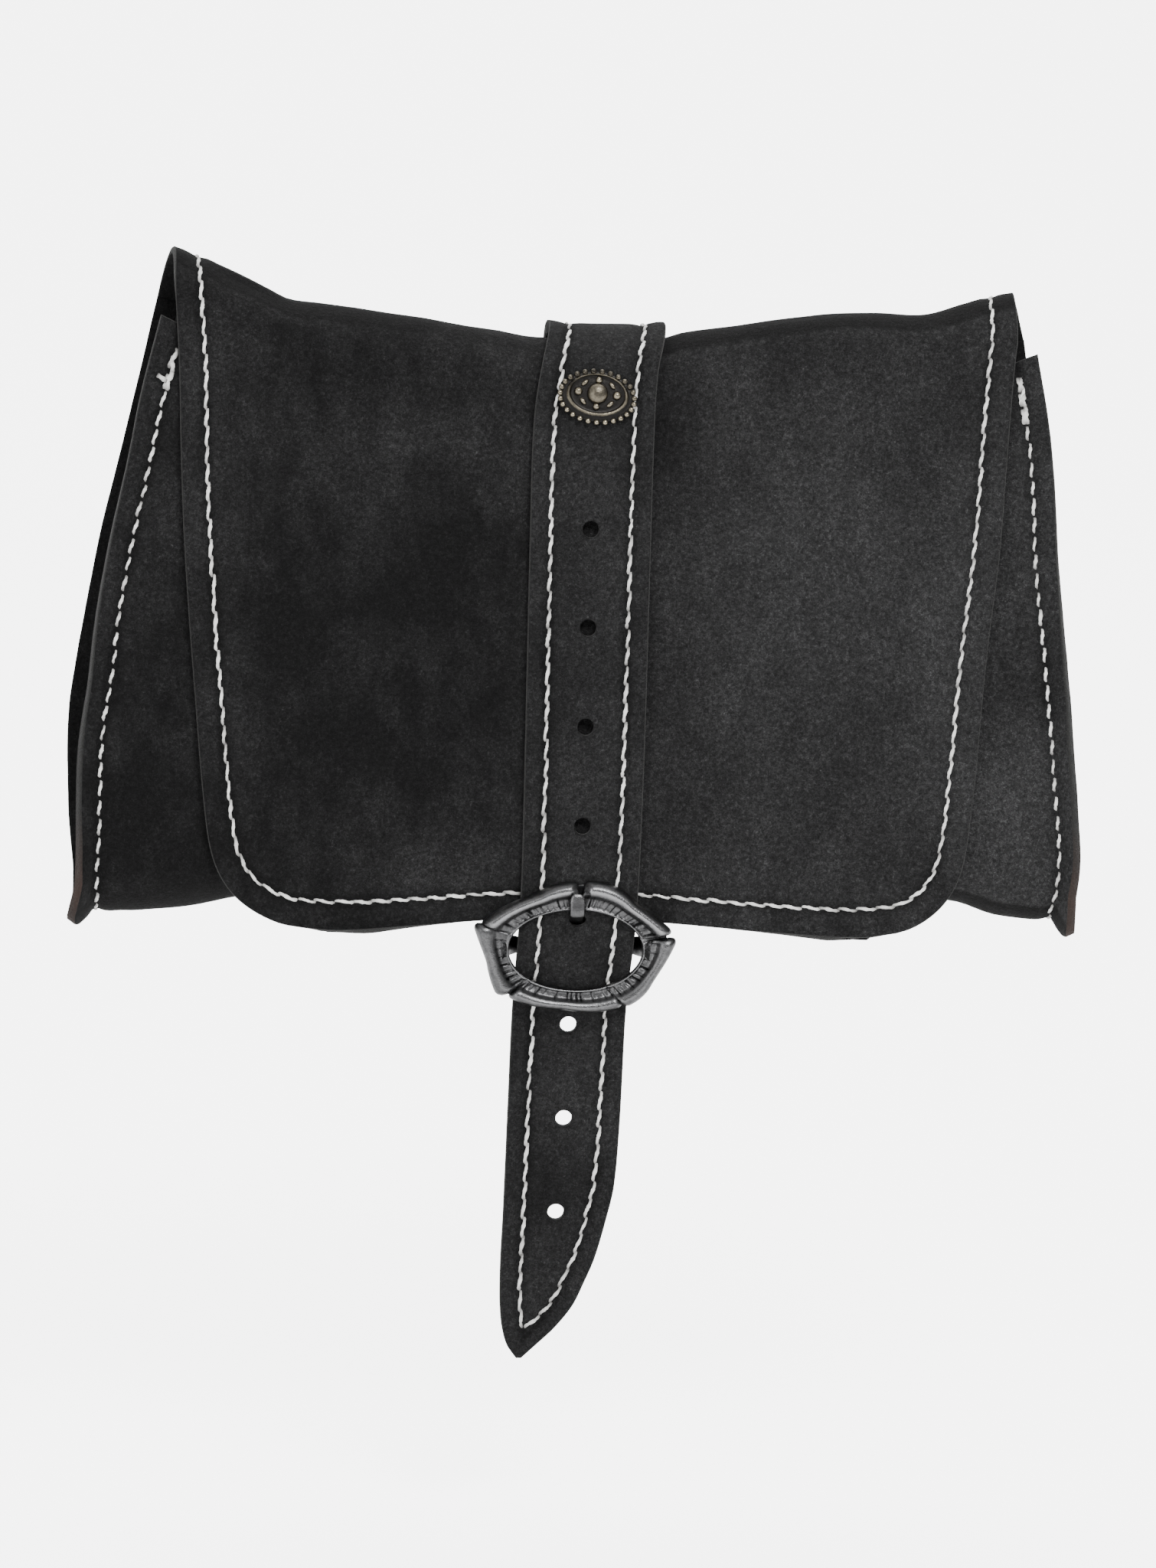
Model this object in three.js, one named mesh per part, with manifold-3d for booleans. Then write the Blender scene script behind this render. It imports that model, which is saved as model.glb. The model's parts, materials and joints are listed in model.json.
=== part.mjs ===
// A folk belt pouch of black suede, worn on a belt, in millimetres.
// X runs to the wearer's right as seen from the front, Y away from the viewer, Z up.
// The pouch is laid out with its back on y = 0 and its bottom on z = 0, and is then moved so that
// the origin lies in the belt loop, under its top, where a belt carries the pouch.
import * as THREE from "three";
import { mergeVertices } from "three/addons/utils/BufferGeometryUtils.js";
import Module from "manifold-3d";

const wasm = await Module();
wasm.setup();

// Driving sizes of the leather body
const HALF_WIDTH = 122; // middle to side seam, near the bottom
const HEIGHT = 144; // bottom to the top of the fold, at the middle
const DEPTH = 52; // back to front, near the bottom
const FRONT_DROP = 24; // from there down to the top edge of the front panel
const FRONT_HEIGHT = HEIGHT - FRONT_DROP;
const EAR_LEFT = 21; // how far the top left corner stands above the middle of the fold
const EAR_RIGHT = 13.5; // the same at the right
const FOLD_RADIUS = 12.5; // top fold, outside
const CORNER_RADIUS = 12; // bottom edges, outside
const LEATHER = 1.9; // body and flap
const GUSSET_LEATHER = 1.6; // side walls
const SEAM_MARGIN = 5.4; // stitch line to raw edge along the side seams
const FLAP_MARGIN = 6.5; // stitch line to edge round the flap
const CORNER_TIP = 9; // stitch line to the leather's tip at a bottom corner
const FLAP_CLEAR = 1.1; // air between front panel and flap
const FLAP_FLARE = 3; // how far the flap's lower corners curl to the front
const BOTTOM_ARCH = 5; // how far the front bottom edge rises between its corners
const GUSSET_TUCK = 9; // how far a side wall folds in at the mouth
const GUSSET_BELLY = 3.5; // how far a side wall bulges out near the bottom
const GAP = 0.3; // clearance between pieces that touch

// Driving sizes of the strap
const STRAP_WIDTH = 30;
const STRAP_LEATHER = 2.4;
const TAIL_LENGTH = 111.5; // bottom of the pouch to the strap's point
const BELT_GAP = 7; // room for a belt's thickness behind the pouch
const LOOP_FOOT = 44; // height at which the loop leaves the back
const LOOP_ANCHOR = 30; // length sewn to the back below that
const LOOP_SPREAD = 22; // height over which the loop swings out to its full depth
const STRAP_RISE = 1; // air between the top fold and the strap
const HOLE_SIZE = 4.2;
const HOLE_PITCH = 24.2;
const HOLES_ABOVE = 4; // holes on the flap, over the one that the tongue is in
const HOLES_BELOW = 3; // holes in the hanging tail
const TONGUE_HOLE = 0.4; // height of the hole that the tongue is in
const TAIL_HOLE_DROP = 1.7; // how much lower the tail's holes hang than the pitch puts them
const TONGUE_SLOT = 7; // that hole's length, pulled long by the tongue

// Driving sizes of the metal
const FRAME_RADIUS = 25.2; // buckle centre to its furthest horn
const FRAME_THICK = 3.4;
const OPENING_WIDTH = 34.6; // inside of the buckle frame
const OPENING_HEIGHT = 21.2;
const BUCKLE_DROP = 6; // buckle's centre below the bottom of the pouch
const BAR_SIZE = 3.4; // diameter of the centre bar
const BAR_CLEAR = 0.2; // play of what is wrapped round the bar
const NOTCH_ANGLE = 86; // where the tongue rests on the frame
const NOTCH_DEPTH = 0.45; // share of the frame's thickness sunk there
const NOTCH_SPREAD = 12; // half width of that notch, in degrees
const ARM_STEPS = 8; // facets along each arm of the frame
const TONGUE_WIDTH = 3.6;
const TONGUE_THICK = 1.6;
const HOLDER_WIDTH = 22; // strap that carries the buckle
const HOLDER_LEATHER = 1.8;
const HOLDER_ANCHOR = 24; // its length sewn under the bottom
const CONCHO_WIDTH = 20.3; // across the ring of beads
const CONCHO_HEIGHT = 14.3;
const CONCHO_THICK = 1.2; // its base plate
const CONCHO_DOME = 4.9; // diameter of the boss in its middle
const CONCHO_DROP = 14.4; // its middle below the top of the fold
const CONCHO_SIDES = 24;
const POST_SIZE = 2.4;
const BACK_DISC = 8;
const BACK_DISC_THICK = 1;
const BEAD_COUNT = 27;
const BEAD_SIZE = 1.5;
const PELLET_COUNT = 8; // small studs round the boss
const PELLET_SIZE = 1.7;
const PELLET_RING = 0.44; // their ring, as a share of the plate's half size

// Side profile of the front panel: height as a share of FRONT_HEIGHT, depth as a share of DEPTH
const FRONT_PROFILE = [
  { at: 1.1, depth: 0.42 },
  { at: 1.0, depth: 0.462 },
  { at: 0.83, depth: 0.58 },
  { at: 0.62, depth: 0.71 },
  { at: 0.42, depth: 0.83 },
  { at: 0.25, depth: 0.925 },
  { at: 0.12, depth: 0.985 },
  { at: 0.0, depth: 1.0 },
];

// Side seam up the front, by share of the panel's height. left and right are the seam's distance
// from the middle as shares of HALF_WIDTH, earLeft and earRight are how much of each ear's rise
// this height takes, turnLeft and turnRight are how far the raw edges lean out, in degrees, and
// arch is how much of the bottom's arch it takes.
const FRONT_SEAM = [
  { at: 1, left: 0.822, right: 0.907, earLeft: 1.36, earRight: 1.68, turnLeft: 0, turnRight: 6 },
  { at: 0.9, left: 0.86, right: 0.931, earLeft: 1.02, earRight: 1.22, turnLeft: 3, turnRight: 12 },
  { at: 0.8, left: 0.887, right: 0.943, earLeft: 0.75, earRight: 0.85, turnLeft: 7, turnRight: 16 },
  { at: 0.68, left: 0.92, right: 0.949, earLeft: 0.5, earRight: 0.55, turnLeft: 14, turnRight: 24 },
  { at: 0.56, left: 0.945, right: 0.961, earLeft: 0.3, earRight: 0.32, turnLeft: 22, turnRight: 34 },
  { at: 0.44, left: 0.96, right: 0.974, earLeft: 0.15, earRight: 0.15, turnLeft: 28, turnRight: 44 },
  { at: 0.33, left: 0.977, right: 0.982, earLeft: 0.06, earRight: 0.06, turnLeft: 36, turnRight: 52 },
  { at: 0.23, left: 0.98, right: 0.99, turnLeft: 40, turnRight: 58, arch: 0.15 },
  { at: 0.14, left: 0.98, right: 0.996, turnLeft: 44, turnRight: 64, arch: 0.5 },
  { at: 0.07, left: 0.982, right: 0.994, turnLeft: 50, turnRight: 70, arch: 0.8 },
  { at: 0, left: 0.984, right: 0.986, turnLeft: 56, turnRight: 78, arch: 1 },
];

// Side seam along the bottom, from the front corner to the back corner
const BOTTOM_SEAM = [
  { at: 0, left: 0.984, right: 0.986, turnLeft: 56, turnRight: 78, arch: 1 },
  { at: 0.2, left: 0.988, right: 0.989, turnLeft: 40, turnRight: 50, arch: 1 },
  { at: 0.5, left: 0.992, right: 0.993, turnLeft: 28, turnRight: 30, arch: 0.6 },
  { at: 0.8, left: 0.996, right: 0.996, turnLeft: 18, turnRight: 18, arch: 0.3 },
  { at: 1, left: 0.998, right: 0.998, turnLeft: 12, turnRight: 12, arch: 0.15 },
];

// Side seam up the back
const BACK_SEAM = [
  { at: 0, left: 0.998, right: 0.998, turnLeft: 12, turnRight: 12, arch: 0.15 },
  { at: 0.07, left: 1.006, right: 1.003, turnLeft: 6, turnRight: 6 },
  { at: 0.14, left: 1.013, right: 1.006, turnLeft: 2, turnRight: 2 },
  { at: 0.33, left: 1.014, right: 1.003 },
  { at: 0.44, left: 0.997, right: 0.993 },
  { at: 0.56, left: 0.972, right: 0.98, earLeft: 0.12, earRight: 0.12 },
  { at: 0.68, left: 0.94, right: 0.962, earLeft: 0.3, earRight: 0.3 },
  { at: 0.8, left: 0.901, right: 0.943, earLeft: 0.5, earRight: 0.5 },
  { at: 0.9, left: 0.867, right: 0.926, earLeft: 0.75, earRight: 0.75 },
  { at: 1, left: 0.834, right: 0.907, earLeft: 0.98, earRight: 1 },
];

// Stitch line over the top fold, by share of the half turn from the back to the flap
const FOLD_EDGE = [
  { at: 0.0, left: 0.834, right: 0.907, earLeft: 0.98, earRight: 1.0 },
  { at: 0.5, left: 0.797, right: 0.862, earLeft: 1.0, earRight: 1.0 },
  { at: 1.0, left: 0.784, right: 0.855, earLeft: 1.0, earRight: 1.0 },
];

// Stitch line down the flap, by share of its height from its lower edge up. hem is how much of
// the lower edge's wave and of the flare this height takes.
const FLAP_EDGE = [
  { at: 1.0, left: 0.784, right: 0.855, lift: 1.0 },
  { at: 0.9, left: 0.775, right: 0.843, lift: 0.85 },
  { at: 0.78, left: 0.77, right: 0.83, lift: 0.65 },
  { at: 0.65, left: 0.762, right: 0.816, lift: 0.45 },
  { at: 0.52, left: 0.749, right: 0.794, lift: 0.25 },
  { at: 0.4, left: 0.735, right: 0.778, lift: 0.1, hem: 0.02 },
  { at: 0.29, left: 0.723, right: 0.766, lift: 0, hem: 0.06 },
  { at: 0.2, left: 0.712, right: 0.753, lift: 0, hem: 0.14 },
  { at: 0.14, left: 0.703, right: 0.744, lift: 0, hem: 0.25 },
  { at: 0.095, left: 0.686, right: 0.732, lift: 0, hem: 0.4 },
  { at: 0.062, left: 0.661, right: 0.708, lift: 0, hem: 0.58 },
  { at: 0.037, left: 0.626, right: 0.68, lift: 0, hem: 0.76 },
  { at: 0.017, left: 0.582, right: 0.642, lift: 0, hem: 0.9 },
  { at: 0.005, left: 0.54, right: 0.602, lift: 0, hem: 0.97 },
  { at: 0.0, left: 0.47, right: 0.55, lift: 0, hem: 1.0 },
];

// Line of the fold: across as a share of the way out to the stitch line, rise as a share of that
// side's ear. The raw edge lies beyond the stitch line. The kinks are the dents beside each ear.
const EAR_LINE = [
  { across: -1.07, rise: 1.0 },
  { across: -1.0, rise: 0.91 },
  { across: -0.91, rise: 0.74 },
  { across: -0.81, rise: 0.52 },
  { across: -0.757, rise: 0.405 },
  { across: -0.67, rise: 0.365 },
  { across: -0.52, rise: 0.285 },
  { across: -0.39, rise: 0.19 },
  { across: -0.22, rise: 0.065 },
  { across: -0.1, rise: 0.0 },
  { across: 0.19, rise: 0.0 },
  { across: 0.25, rise: 0.13 },
  { across: 0.4, rise: 0.29 },
  { across: 0.585, rise: 0.51 },
  { across: 0.717, rise: 0.59 },
  { across: 0.84, rise: 0.565 },
  { across: 0.94, rise: 0.79 },
  { across: 1.0, rise: 0.9 },
  { across: 1.07, rise: 1.0 },
];

// Front bottom edge: across as a share of the way out, rise as a share of BOTTOM_ARCH
const ARCH_LINE = [
  { across: -0.92, rise: 0.0 },
  { across: -0.82, rise: 0.25 },
  { across: -0.71, rise: 0.8 },
  { across: -0.6, rise: 1.0 },
  { across: 0.68, rise: 1.0 },
  { across: 0.8, rise: 0.8 },
  { across: 0.88, rise: 0.25 },
  { across: 0.95, rise: 0.0 },
];

// Lower edge of the flap: across as a share of the way out, drop as a share of FLAP_MARGIN
const FLAP_HEM = [
  { across: -1.0, drop: 0.26 },
  { across: -0.6, drop: 0.03 },
  { across: -0.3, drop: -0.17 },
  { across: 0.0, drop: -0.23 },
  { across: 0.3, drop: -0.08 },
  { across: 0.65, drop: 0.2 },
  { across: 1.0, drop: 0.36 },
];

// Strap, by height: above the bottom as a share of HEIGHT, below it as a negative share of
// TAIL_LENGTH. left and right are its edges from the middle plane as shares of STRAP_WIDTH.
const STRAP_FRONT = [
  { at: 1.02, left: -0.25, right: 0.74 },
  { at: 0.95, left: -0.34, right: 0.65 },
  { at: 0.85, left: -0.4, right: 0.62 },
  { at: 0.66, left: -0.428, right: 0.588 },
  { at: 0.32, left: -0.46, right: 0.54 },
  { at: 0.1, left: -0.48, right: 0.5 },
  { at: 0.0, left: -0.497, right: 0.476 },
  { at: -0.18, left: -0.536, right: 0.417 },
  { at: -0.45, left: -0.56, right: 0.387 },
  { at: -0.6, left: -0.573, right: 0.353 },
  { at: -0.67, left: -0.58, right: 0.3 },
  { at: -0.77, left: -0.594, right: 0.2 },
  { at: -0.83, left: -0.597, right: 0.107 },
  { at: -0.88, left: -0.593, right: 0.017 },
  { at: -0.93, left: -0.573, right: -0.13 },
  { at: -0.97, left: -0.53, right: -0.287 },
  { at: -1.0, left: -0.45, right: -0.41 },
];

// How far the hanging tail stands back from the front of the pouch, as a share of DEPTH
const TAIL_PROFILE = [
  { at: 0.0, back: 0.0 },
  { at: -0.05, back: -0.004 },
  { at: -0.18, back: 0.026 },
  { at: -0.45, back: 0.056 },
  { at: -0.7, back: 0.064 },
  { at: -1.0, back: 0.036 },
];

// Rows down the hanging tail, as shares of TAIL_LENGTH
const TAIL_ROWS = [
  0, -0.05, -0.1, -0.18, -0.3, -0.45, -0.6, -0.67, -0.77, -0.83, -0.88, -0.93, -0.97, -1,
];

// The buckle's five arms: angles in degrees, radii as shares of FRAME_RADIUS.
// Each arm runs from one horn through a waist to the next horn.
const FRAME_ARMS = [
  { from: 11, start: 0.975, waist: 40, narrow: 0.745, to: 84, end: 0.665 },
  { from: 88, start: 0.665, waist: 122, narrow: 0.675, to: 164, end: 0.975 },
  { from: 167, start: 1.035, waist: 190, narrow: 0.87, to: 209, end: 0.875 },
  { from: 219, start: 0.815, waist: 262, narrow: 0.6, to: 308, end: 0.715 },
  { from: 315, start: 0.745, waist: 335, narrow: 0.82, to: 367, end: 1.0 },
];

// Section of the frame from its opening out to its edge: across as a share of the band's
// width, high as a share of FRAME_THICK
const FRAME_SECTION = [
  { across: 0.0, high: 0.3 },
  { across: 0.1, high: 0.62 },
  { across: 0.22, high: 0.5 },
  { across: 0.6, high: 0.78 },
  { across: 0.8, high: 1.0 },
  { across: 0.95, high: 0.85 },
  { across: 1.0, high: 0.3 },
];

// Section of the concho from its middle out: out as a share of the way to the plate's edge,
// high as a share of CONCHO_THICK
const CONCHO_SECTION = [
  { out: 0.62, high: 0.55 },
  { out: 0.68, high: 1.35 },
  { out: 0.78, high: 1.45 },
  { out: 0.85, high: 0.7 },
  { out: 0.97, high: 0.6 },
  { out: 1.0, high: 0.25 },
];

const degrees = THREE.MathUtils.degToRad;
const mix = THREE.MathUtils.lerp;

// Value of a column at a place between two rows of a table, rounded off by a smooth curve.
// A row without that column counts as 0.
function read(table, key, column, place) {
  const rising = table[0][key] < table[table.length - 1][key];
  const rows = rising ? table : table.slice().reverse();
  const value = (i) => rows[i][column] ?? 0;
  const last = rows.length - 1;
  if (place <= rows[0][key]) return value(0);
  if (place >= rows[last][key]) return value(last);
  const k = rows.findIndex((row) => row[key] > place) - 1;
  const slope = (i) => {
    const [before, after] = [Math.max(i - 1, 0), Math.min(i + 1, last)];
    return (value(after) - value(before)) / (rows[after][key] - rows[before][key]);
  };
  const span = rows[k + 1][key] - rows[k][key];
  const t = (place - rows[k][key]) / span;
  const [a, b] = [value(k), value(k + 1)];
  const [ma, mb] = [slope(k) * span, slope(k + 1) * span];
  const cubic = (2 * t ** 3 - 3 * t ** 2 + 1) * a + (3 * t ** 2 - 2 * t ** 3) * b;
  return cubic + (t ** 3 - 2 * t ** 2 + t) * ma + (t ** 3 - t ** 2) * mb;
}

// Outer face of the front panel, and of the flap over it, at a height
const frontY = (z) => -DEPTH * read(FRONT_PROFILE, "at", "depth", z / FRONT_HEIGHT);
const flapY = (z) => frontY(z) - FLAP_CLEAR - LEATHER;

// One row of points across the leather: the raw edge, the stitch line, the panel between.
// spot is the row's place in the side view, out the panel's outward direction there.
function acrossRow(spot, out, seam, margin) {
  const { hem = 0, arch = 0, lift = 0, earLeft = lift, earRight = lift } = seam;
  const rise = (share) => {
    const ear = share < 0 ? EAR_LEFT * earLeft : EAR_RIGHT * earRight;
    return ear * read(EAR_LINE, "across", "rise", share);
  };
  const row = ACROSS.map((share) => {
    const half = HALF_WIDTH * (share < 0 ? seam.left : seam.right);
    const drop = FLAP_MARGIN * hem * read(FLAP_HEM, "across", "drop", share);
    const flare = FLAP_FLARE * hem * share ** 4;
    const hollow = BOTTOM_ARCH * arch * read(ARCH_LINE, "across", "rise", share);
    const z = spot.z + rise(share) + hollow - drop;
    return new THREE.Vector3(share * half, spot.y - flare, z);
  });
  const edge = (point, side, turn = 0) => {
    const reach = new THREE.Vector3(side * Math.cos(degrees(turn)), 0, 0);
    reach.addScaledVector(out, Math.sin(degrees(turn))).multiplyScalar(margin).add(point);
    reach.z += rise(side * RAW_EDGE) - rise(side);
    return reach;
  };
  row.unshift(edge(row[0], -1, seam.turnLeft));
  row.push(edge(row[row.length - 1], 1, seam.turnRight));
  return row;
}

const SEAM_COLUMNS = ["left", "right", "earLeft", "earRight", "turnLeft", "turnRight", "arch"];
const seamAt = (table, at) =>
  Object.fromEntries(SEAM_COLUMNS.map((column) => [column, read(table, "at", column, at)]));

const RAW_EDGE = 1.07; // where EAR_LINE puts the raw edge
// Columns across the leather, as shares of the way out to each stitch line
const ACROSS = [
  -1, -0.93, -0.84, -0.75, -0.69, -0.6, -0.45, -0.28, -0.1, 0.06, 0.22, 0.34, 0.5, 0.64, 0.74, 0.84,
  0.92, 1,
];

// Heights of the rows up the front and the back, as shares from the corner to the top
const LEVELS = [0, 0.035, 0.07, 0.14, 0.23, 0.33, 0.44, 0.56, 0.68, 0.8, 0.9, 1];
const BOTTOM_ROWS = [0.2, 0.4, 0.6, 0.8];
const FOLD_ROWS = [0.14, 0.28, 0.42, 0.56, 0.7, 0.85];
const cornerInset = CORNER_RADIUS * (1 - Math.SQRT1_2);
const foldCentre = new THREE.Vector3(0, -FOLD_RADIUS, HEIGHT - FOLD_RADIUS);
const backTop = foldCentre.z;

// Depth of a row along the bottom, by its share of the way from the front corner to the back one
const [firstRow, lastRow] = [BOTTOM_ROWS[0], BOTTOM_ROWS[BOTTOM_ROWS.length - 1]];
const bottomY = (share) =>
  THREE.MathUtils.mapLinear(share, firstRow, lastRow, CORNER_RADIUS - DEPTH, -CORNER_RADIUS);

// Height of the bottom's outer face on the middle line, at a depth
function bottomZ(y) {
  const [from, to] = [CORNER_RADIUS - DEPTH, -CORNER_RADIUS];
  const share = THREE.MathUtils.mapLinear(y, from, to, firstRow, lastRow);
  return BOTTOM_ARCH * read(BOTTOM_SEAM, "at", "arch", share);
}

// The whole leather wrap as rows of points on its outer face, from the top of the front panel
// down, under the bottom, up the back, over the fold and down the flap.
function wrapRows() {
  const rows = [];
  const corner = (share) => mix(CORNER_TIP, SEAM_MARGIN, Math.min(share / LEVELS[1], 1));
  for (const level of LEVELS.slice().reverse()) {
    const z = mix(cornerInset, FRONT_HEIGHT, level);
    const y = level ? frontY(z) : cornerInset - DEPTH;
    const lean = level ? Math.atan2(frontY(z + 1) - frontY(z - 1), 2) : degrees(45);
    const out = new THREE.Vector3(0, -Math.cos(lean), -Math.abs(Math.sin(lean)));
    rows.push(acrossRow({ y, z }, out, seamAt(FRONT_SEAM, level), corner(level)));
  }
  for (const share of BOTTOM_ROWS) {
    const y = bottomY(share);
    const out = new THREE.Vector3(0, 0, -1);
    rows.push(acrossRow({ y, z: 0 }, out, seamAt(BOTTOM_SEAM, share), SEAM_MARGIN));
  }
  for (const level of LEVELS) {
    const z = mix(cornerInset, backTop, level);
    const y = level ? 0 : -cornerInset;
    const lean = level ? 0 : degrees(45);
    const out = new THREE.Vector3(0, Math.cos(lean), -Math.sin(lean));
    rows.push(acrossRow({ y, z }, out, seamAt(BACK_SEAM, level), SEAM_MARGIN));
  }
  for (const share of FOLD_ROWS) {
    const out = new THREE.Vector3(0, Math.cos(share * Math.PI), Math.sin(share * Math.PI));
    const spot = out.clone().multiplyScalar(FOLD_RADIUS).add(foldCentre);
    rows.push(acrossRow(spot, out, seamAt(FOLD_EDGE, share), mix(SEAM_MARGIN, FLAP_MARGIN, share)));
  }
  for (const seam of FLAP_EDGE) {
    const z = backTop * seam.at;
    const y = seam.at === 1 ? -2 * FOLD_RADIUS : flapY(z);
    rows.push(acrossRow({ y, z }, new THREE.Vector3(0, -1, 0), seam, FLAP_MARGIN));
  }
  return rows;
}

// Points moved off a grid of points by a distance, square to the grid on each side of a bend.
function offset(rows, distance) {
  const [lastRow, lastColumn] = [rows.length - 1, rows[0].length - 1];
  const normalOf = (i, j) => {
    const a = rows[i + 1][j + 1].clone().sub(rows[i][j]);
    const b = rows[i + 1][j].clone().sub(rows[i][j + 1]);
    return a.cross(b).normalize();
  };
  return rows.map((row, i) =>
    row.map((point, j) => {
      const faces = [];
      for (const [di, dj] of [[-1, -1], [-1, 0], [0, -1], [0, 0]]) {
        const [fi, fj] = [i + di, j + dj];
        if (fi >= 0 && fj >= 0 && fi < lastRow && fj < lastColumn) faces.push(normalOf(fi, fj));
      }
      const mean = faces.reduce((sum, n) => sum.add(n), new THREE.Vector3()).normalize();
      const square = faces.reduce((sum, n) => sum + n.dot(mean), 0) / faces.length;
      return mean.multiplyScalar(distance / Math.max(square, 0.6)).add(point);
    }),
  );
}

// A closed sheet between two grids of points that face each other.
function sheetBetween(top, under) {
  const [rowCount, columnCount] = [top.length, top[0].length];
  const points = [...top.flat(), ...under.flat()];
  const index = (side, i, j) => side * rowCount * columnCount + i * columnCount + j;
  const triangles = [];
  const quad = (a, b, c, d) => triangles.push(a, b, c, a, c, d);
  for (let i = 0; i < rowCount - 1; i++)
    for (let j = 0; j < columnCount - 1; j++) {
      quad(index(0, i, j), index(0, i, j + 1), index(0, i + 1, j + 1), index(0, i + 1, j));
      quad(index(1, i, j), index(1, i + 1, j), index(1, i + 1, j + 1), index(1, i, j + 1));
    }
  const rim = [];
  for (let j = 0; j < columnCount - 1; j++) rim.push([0, j]);
  for (let i = 0; i < rowCount - 1; i++) rim.push([i, columnCount - 1]);
  for (let j = columnCount - 1; j > 0; j--) rim.push([rowCount - 1, j]);
  for (let i = rowCount - 1; i > 0; i--) rim.push([i, 0]);
  rim.forEach(([i, j], k) => {
    const [ni, nj] = rim[(k + 1) % rim.length];
    quad(index(0, ni, nj), index(0, i, j), index(1, i, j), index(1, ni, nj));
  });
  return geometryFrom(points, triangles);
}

function geometryFrom(points, triangles) {
  const geometry = new THREE.BufferGeometry().setFromPoints(points);
  geometry.setIndex(triangles);
  return facingOut(geometry);
}

// Turns the faces round where a closed mesh encloses a negative volume.
function facingOut(geometry) {
  const position = geometry.getAttribute("position");
  const index = geometry.index.array;
  const [a, b, c] = [new THREE.Vector3(), new THREE.Vector3(), new THREE.Vector3()];
  let volume = 0;
  for (let t = 0; t < index.length; t += 3) {
    a.fromBufferAttribute(position, index[t]);
    b.fromBufferAttribute(position, index[t + 1]);
    c.fromBufferAttribute(position, index[t + 2]);
    volume += a.dot(b.cross(c));
  }
  if (volume < 0)
    for (let t = 0; t < index.length; t += 3)
      [index[t], index[t + 1]] = [index[t + 1], index[t]];
  return geometry;
}

function solidOf(geometry) {
  const bare = geometry.clone();
  bare.deleteAttribute("normal");
  bare.deleteAttribute("uv");
  const merged = mergeVertices(bare, 1e-4);
  const vertProperties = merged.getAttribute("position").array;
  const triVerts = new Uint32Array(merged.index.array);
  return new wasm.Manifold(new wasm.Mesh({ numProp: 3, vertProperties, triVerts }));
}

function geometryOf(solid) {
  const mesh = solid.getMesh();
  const geometry = new THREE.BufferGeometry();
  const position = new Float32Array((mesh.vertProperties.length / mesh.numProp) * 3);
  for (let v = 0; v < position.length / 3; v++)
    for (let k = 0; k < 3; k++) position[v * 3 + k] = mesh.vertProperties[v * mesh.numProp + k];
  geometry.setAttribute("position", new THREE.BufferAttribute(position, 3));
  geometry.setIndex(Array.from(mesh.triVerts));
  return geometry;
}

// A round bar between two points, used for posts and as a punch for holes.
function rod(from, to, diameter, sides = 12) {
  const axis = to.clone().sub(from);
  const geometry = new THREE.CylinderGeometry(diameter / 2, diameter / 2, axis.length(), sides);
  const turn = new THREE.Quaternion().setFromUnitVectors(
    new THREE.Vector3(0, 1, 0),
    axis.clone().normalize(),
  );
  geometry.applyQuaternion(turn);
  const middle = from.clone().add(to).multiplyScalar(0.5);
  return geometry.translate(middle.x, middle.y, middle.z);
}

// A flat strip bent along a path in the side view. Each station has y, z, left and right,
// and the thickness is laid half on each side of the path.
function strip(stations, thickness, columns) {
  const path = stations.map((s) => new THREE.Vector3(0, s.y, s.z));
  const rows = stations.map((s, i) => {
    const before = path[Math.max(i - 1, 0)];
    const after = path[Math.min(i + 1, path.length - 1)];
    const along = after.clone().sub(before).normalize();
    const square = new THREE.Vector3(0, -along.z, along.y);
    const line = (side) =>
      Array.from({ length: columns + 1 }, (_, j) =>
        new THREE.Vector3(mix(s.left, s.right, j / columns), s.y, s.z).addScaledVector(
          square,
          (side * thickness) / 2,
        ),
      );
    return [line(1), line(-1)];
  });
  return sheetBetween(
    rows.map((r) => r[0]),
    rows.map((r) => r[1]),
  );
}

const wrap = wrapRows();
const inner = offset(wrap, LEATHER);
const backTopRow = 2 * LEVELS.length + BOTTOM_ROWS.length - 1;

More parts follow.
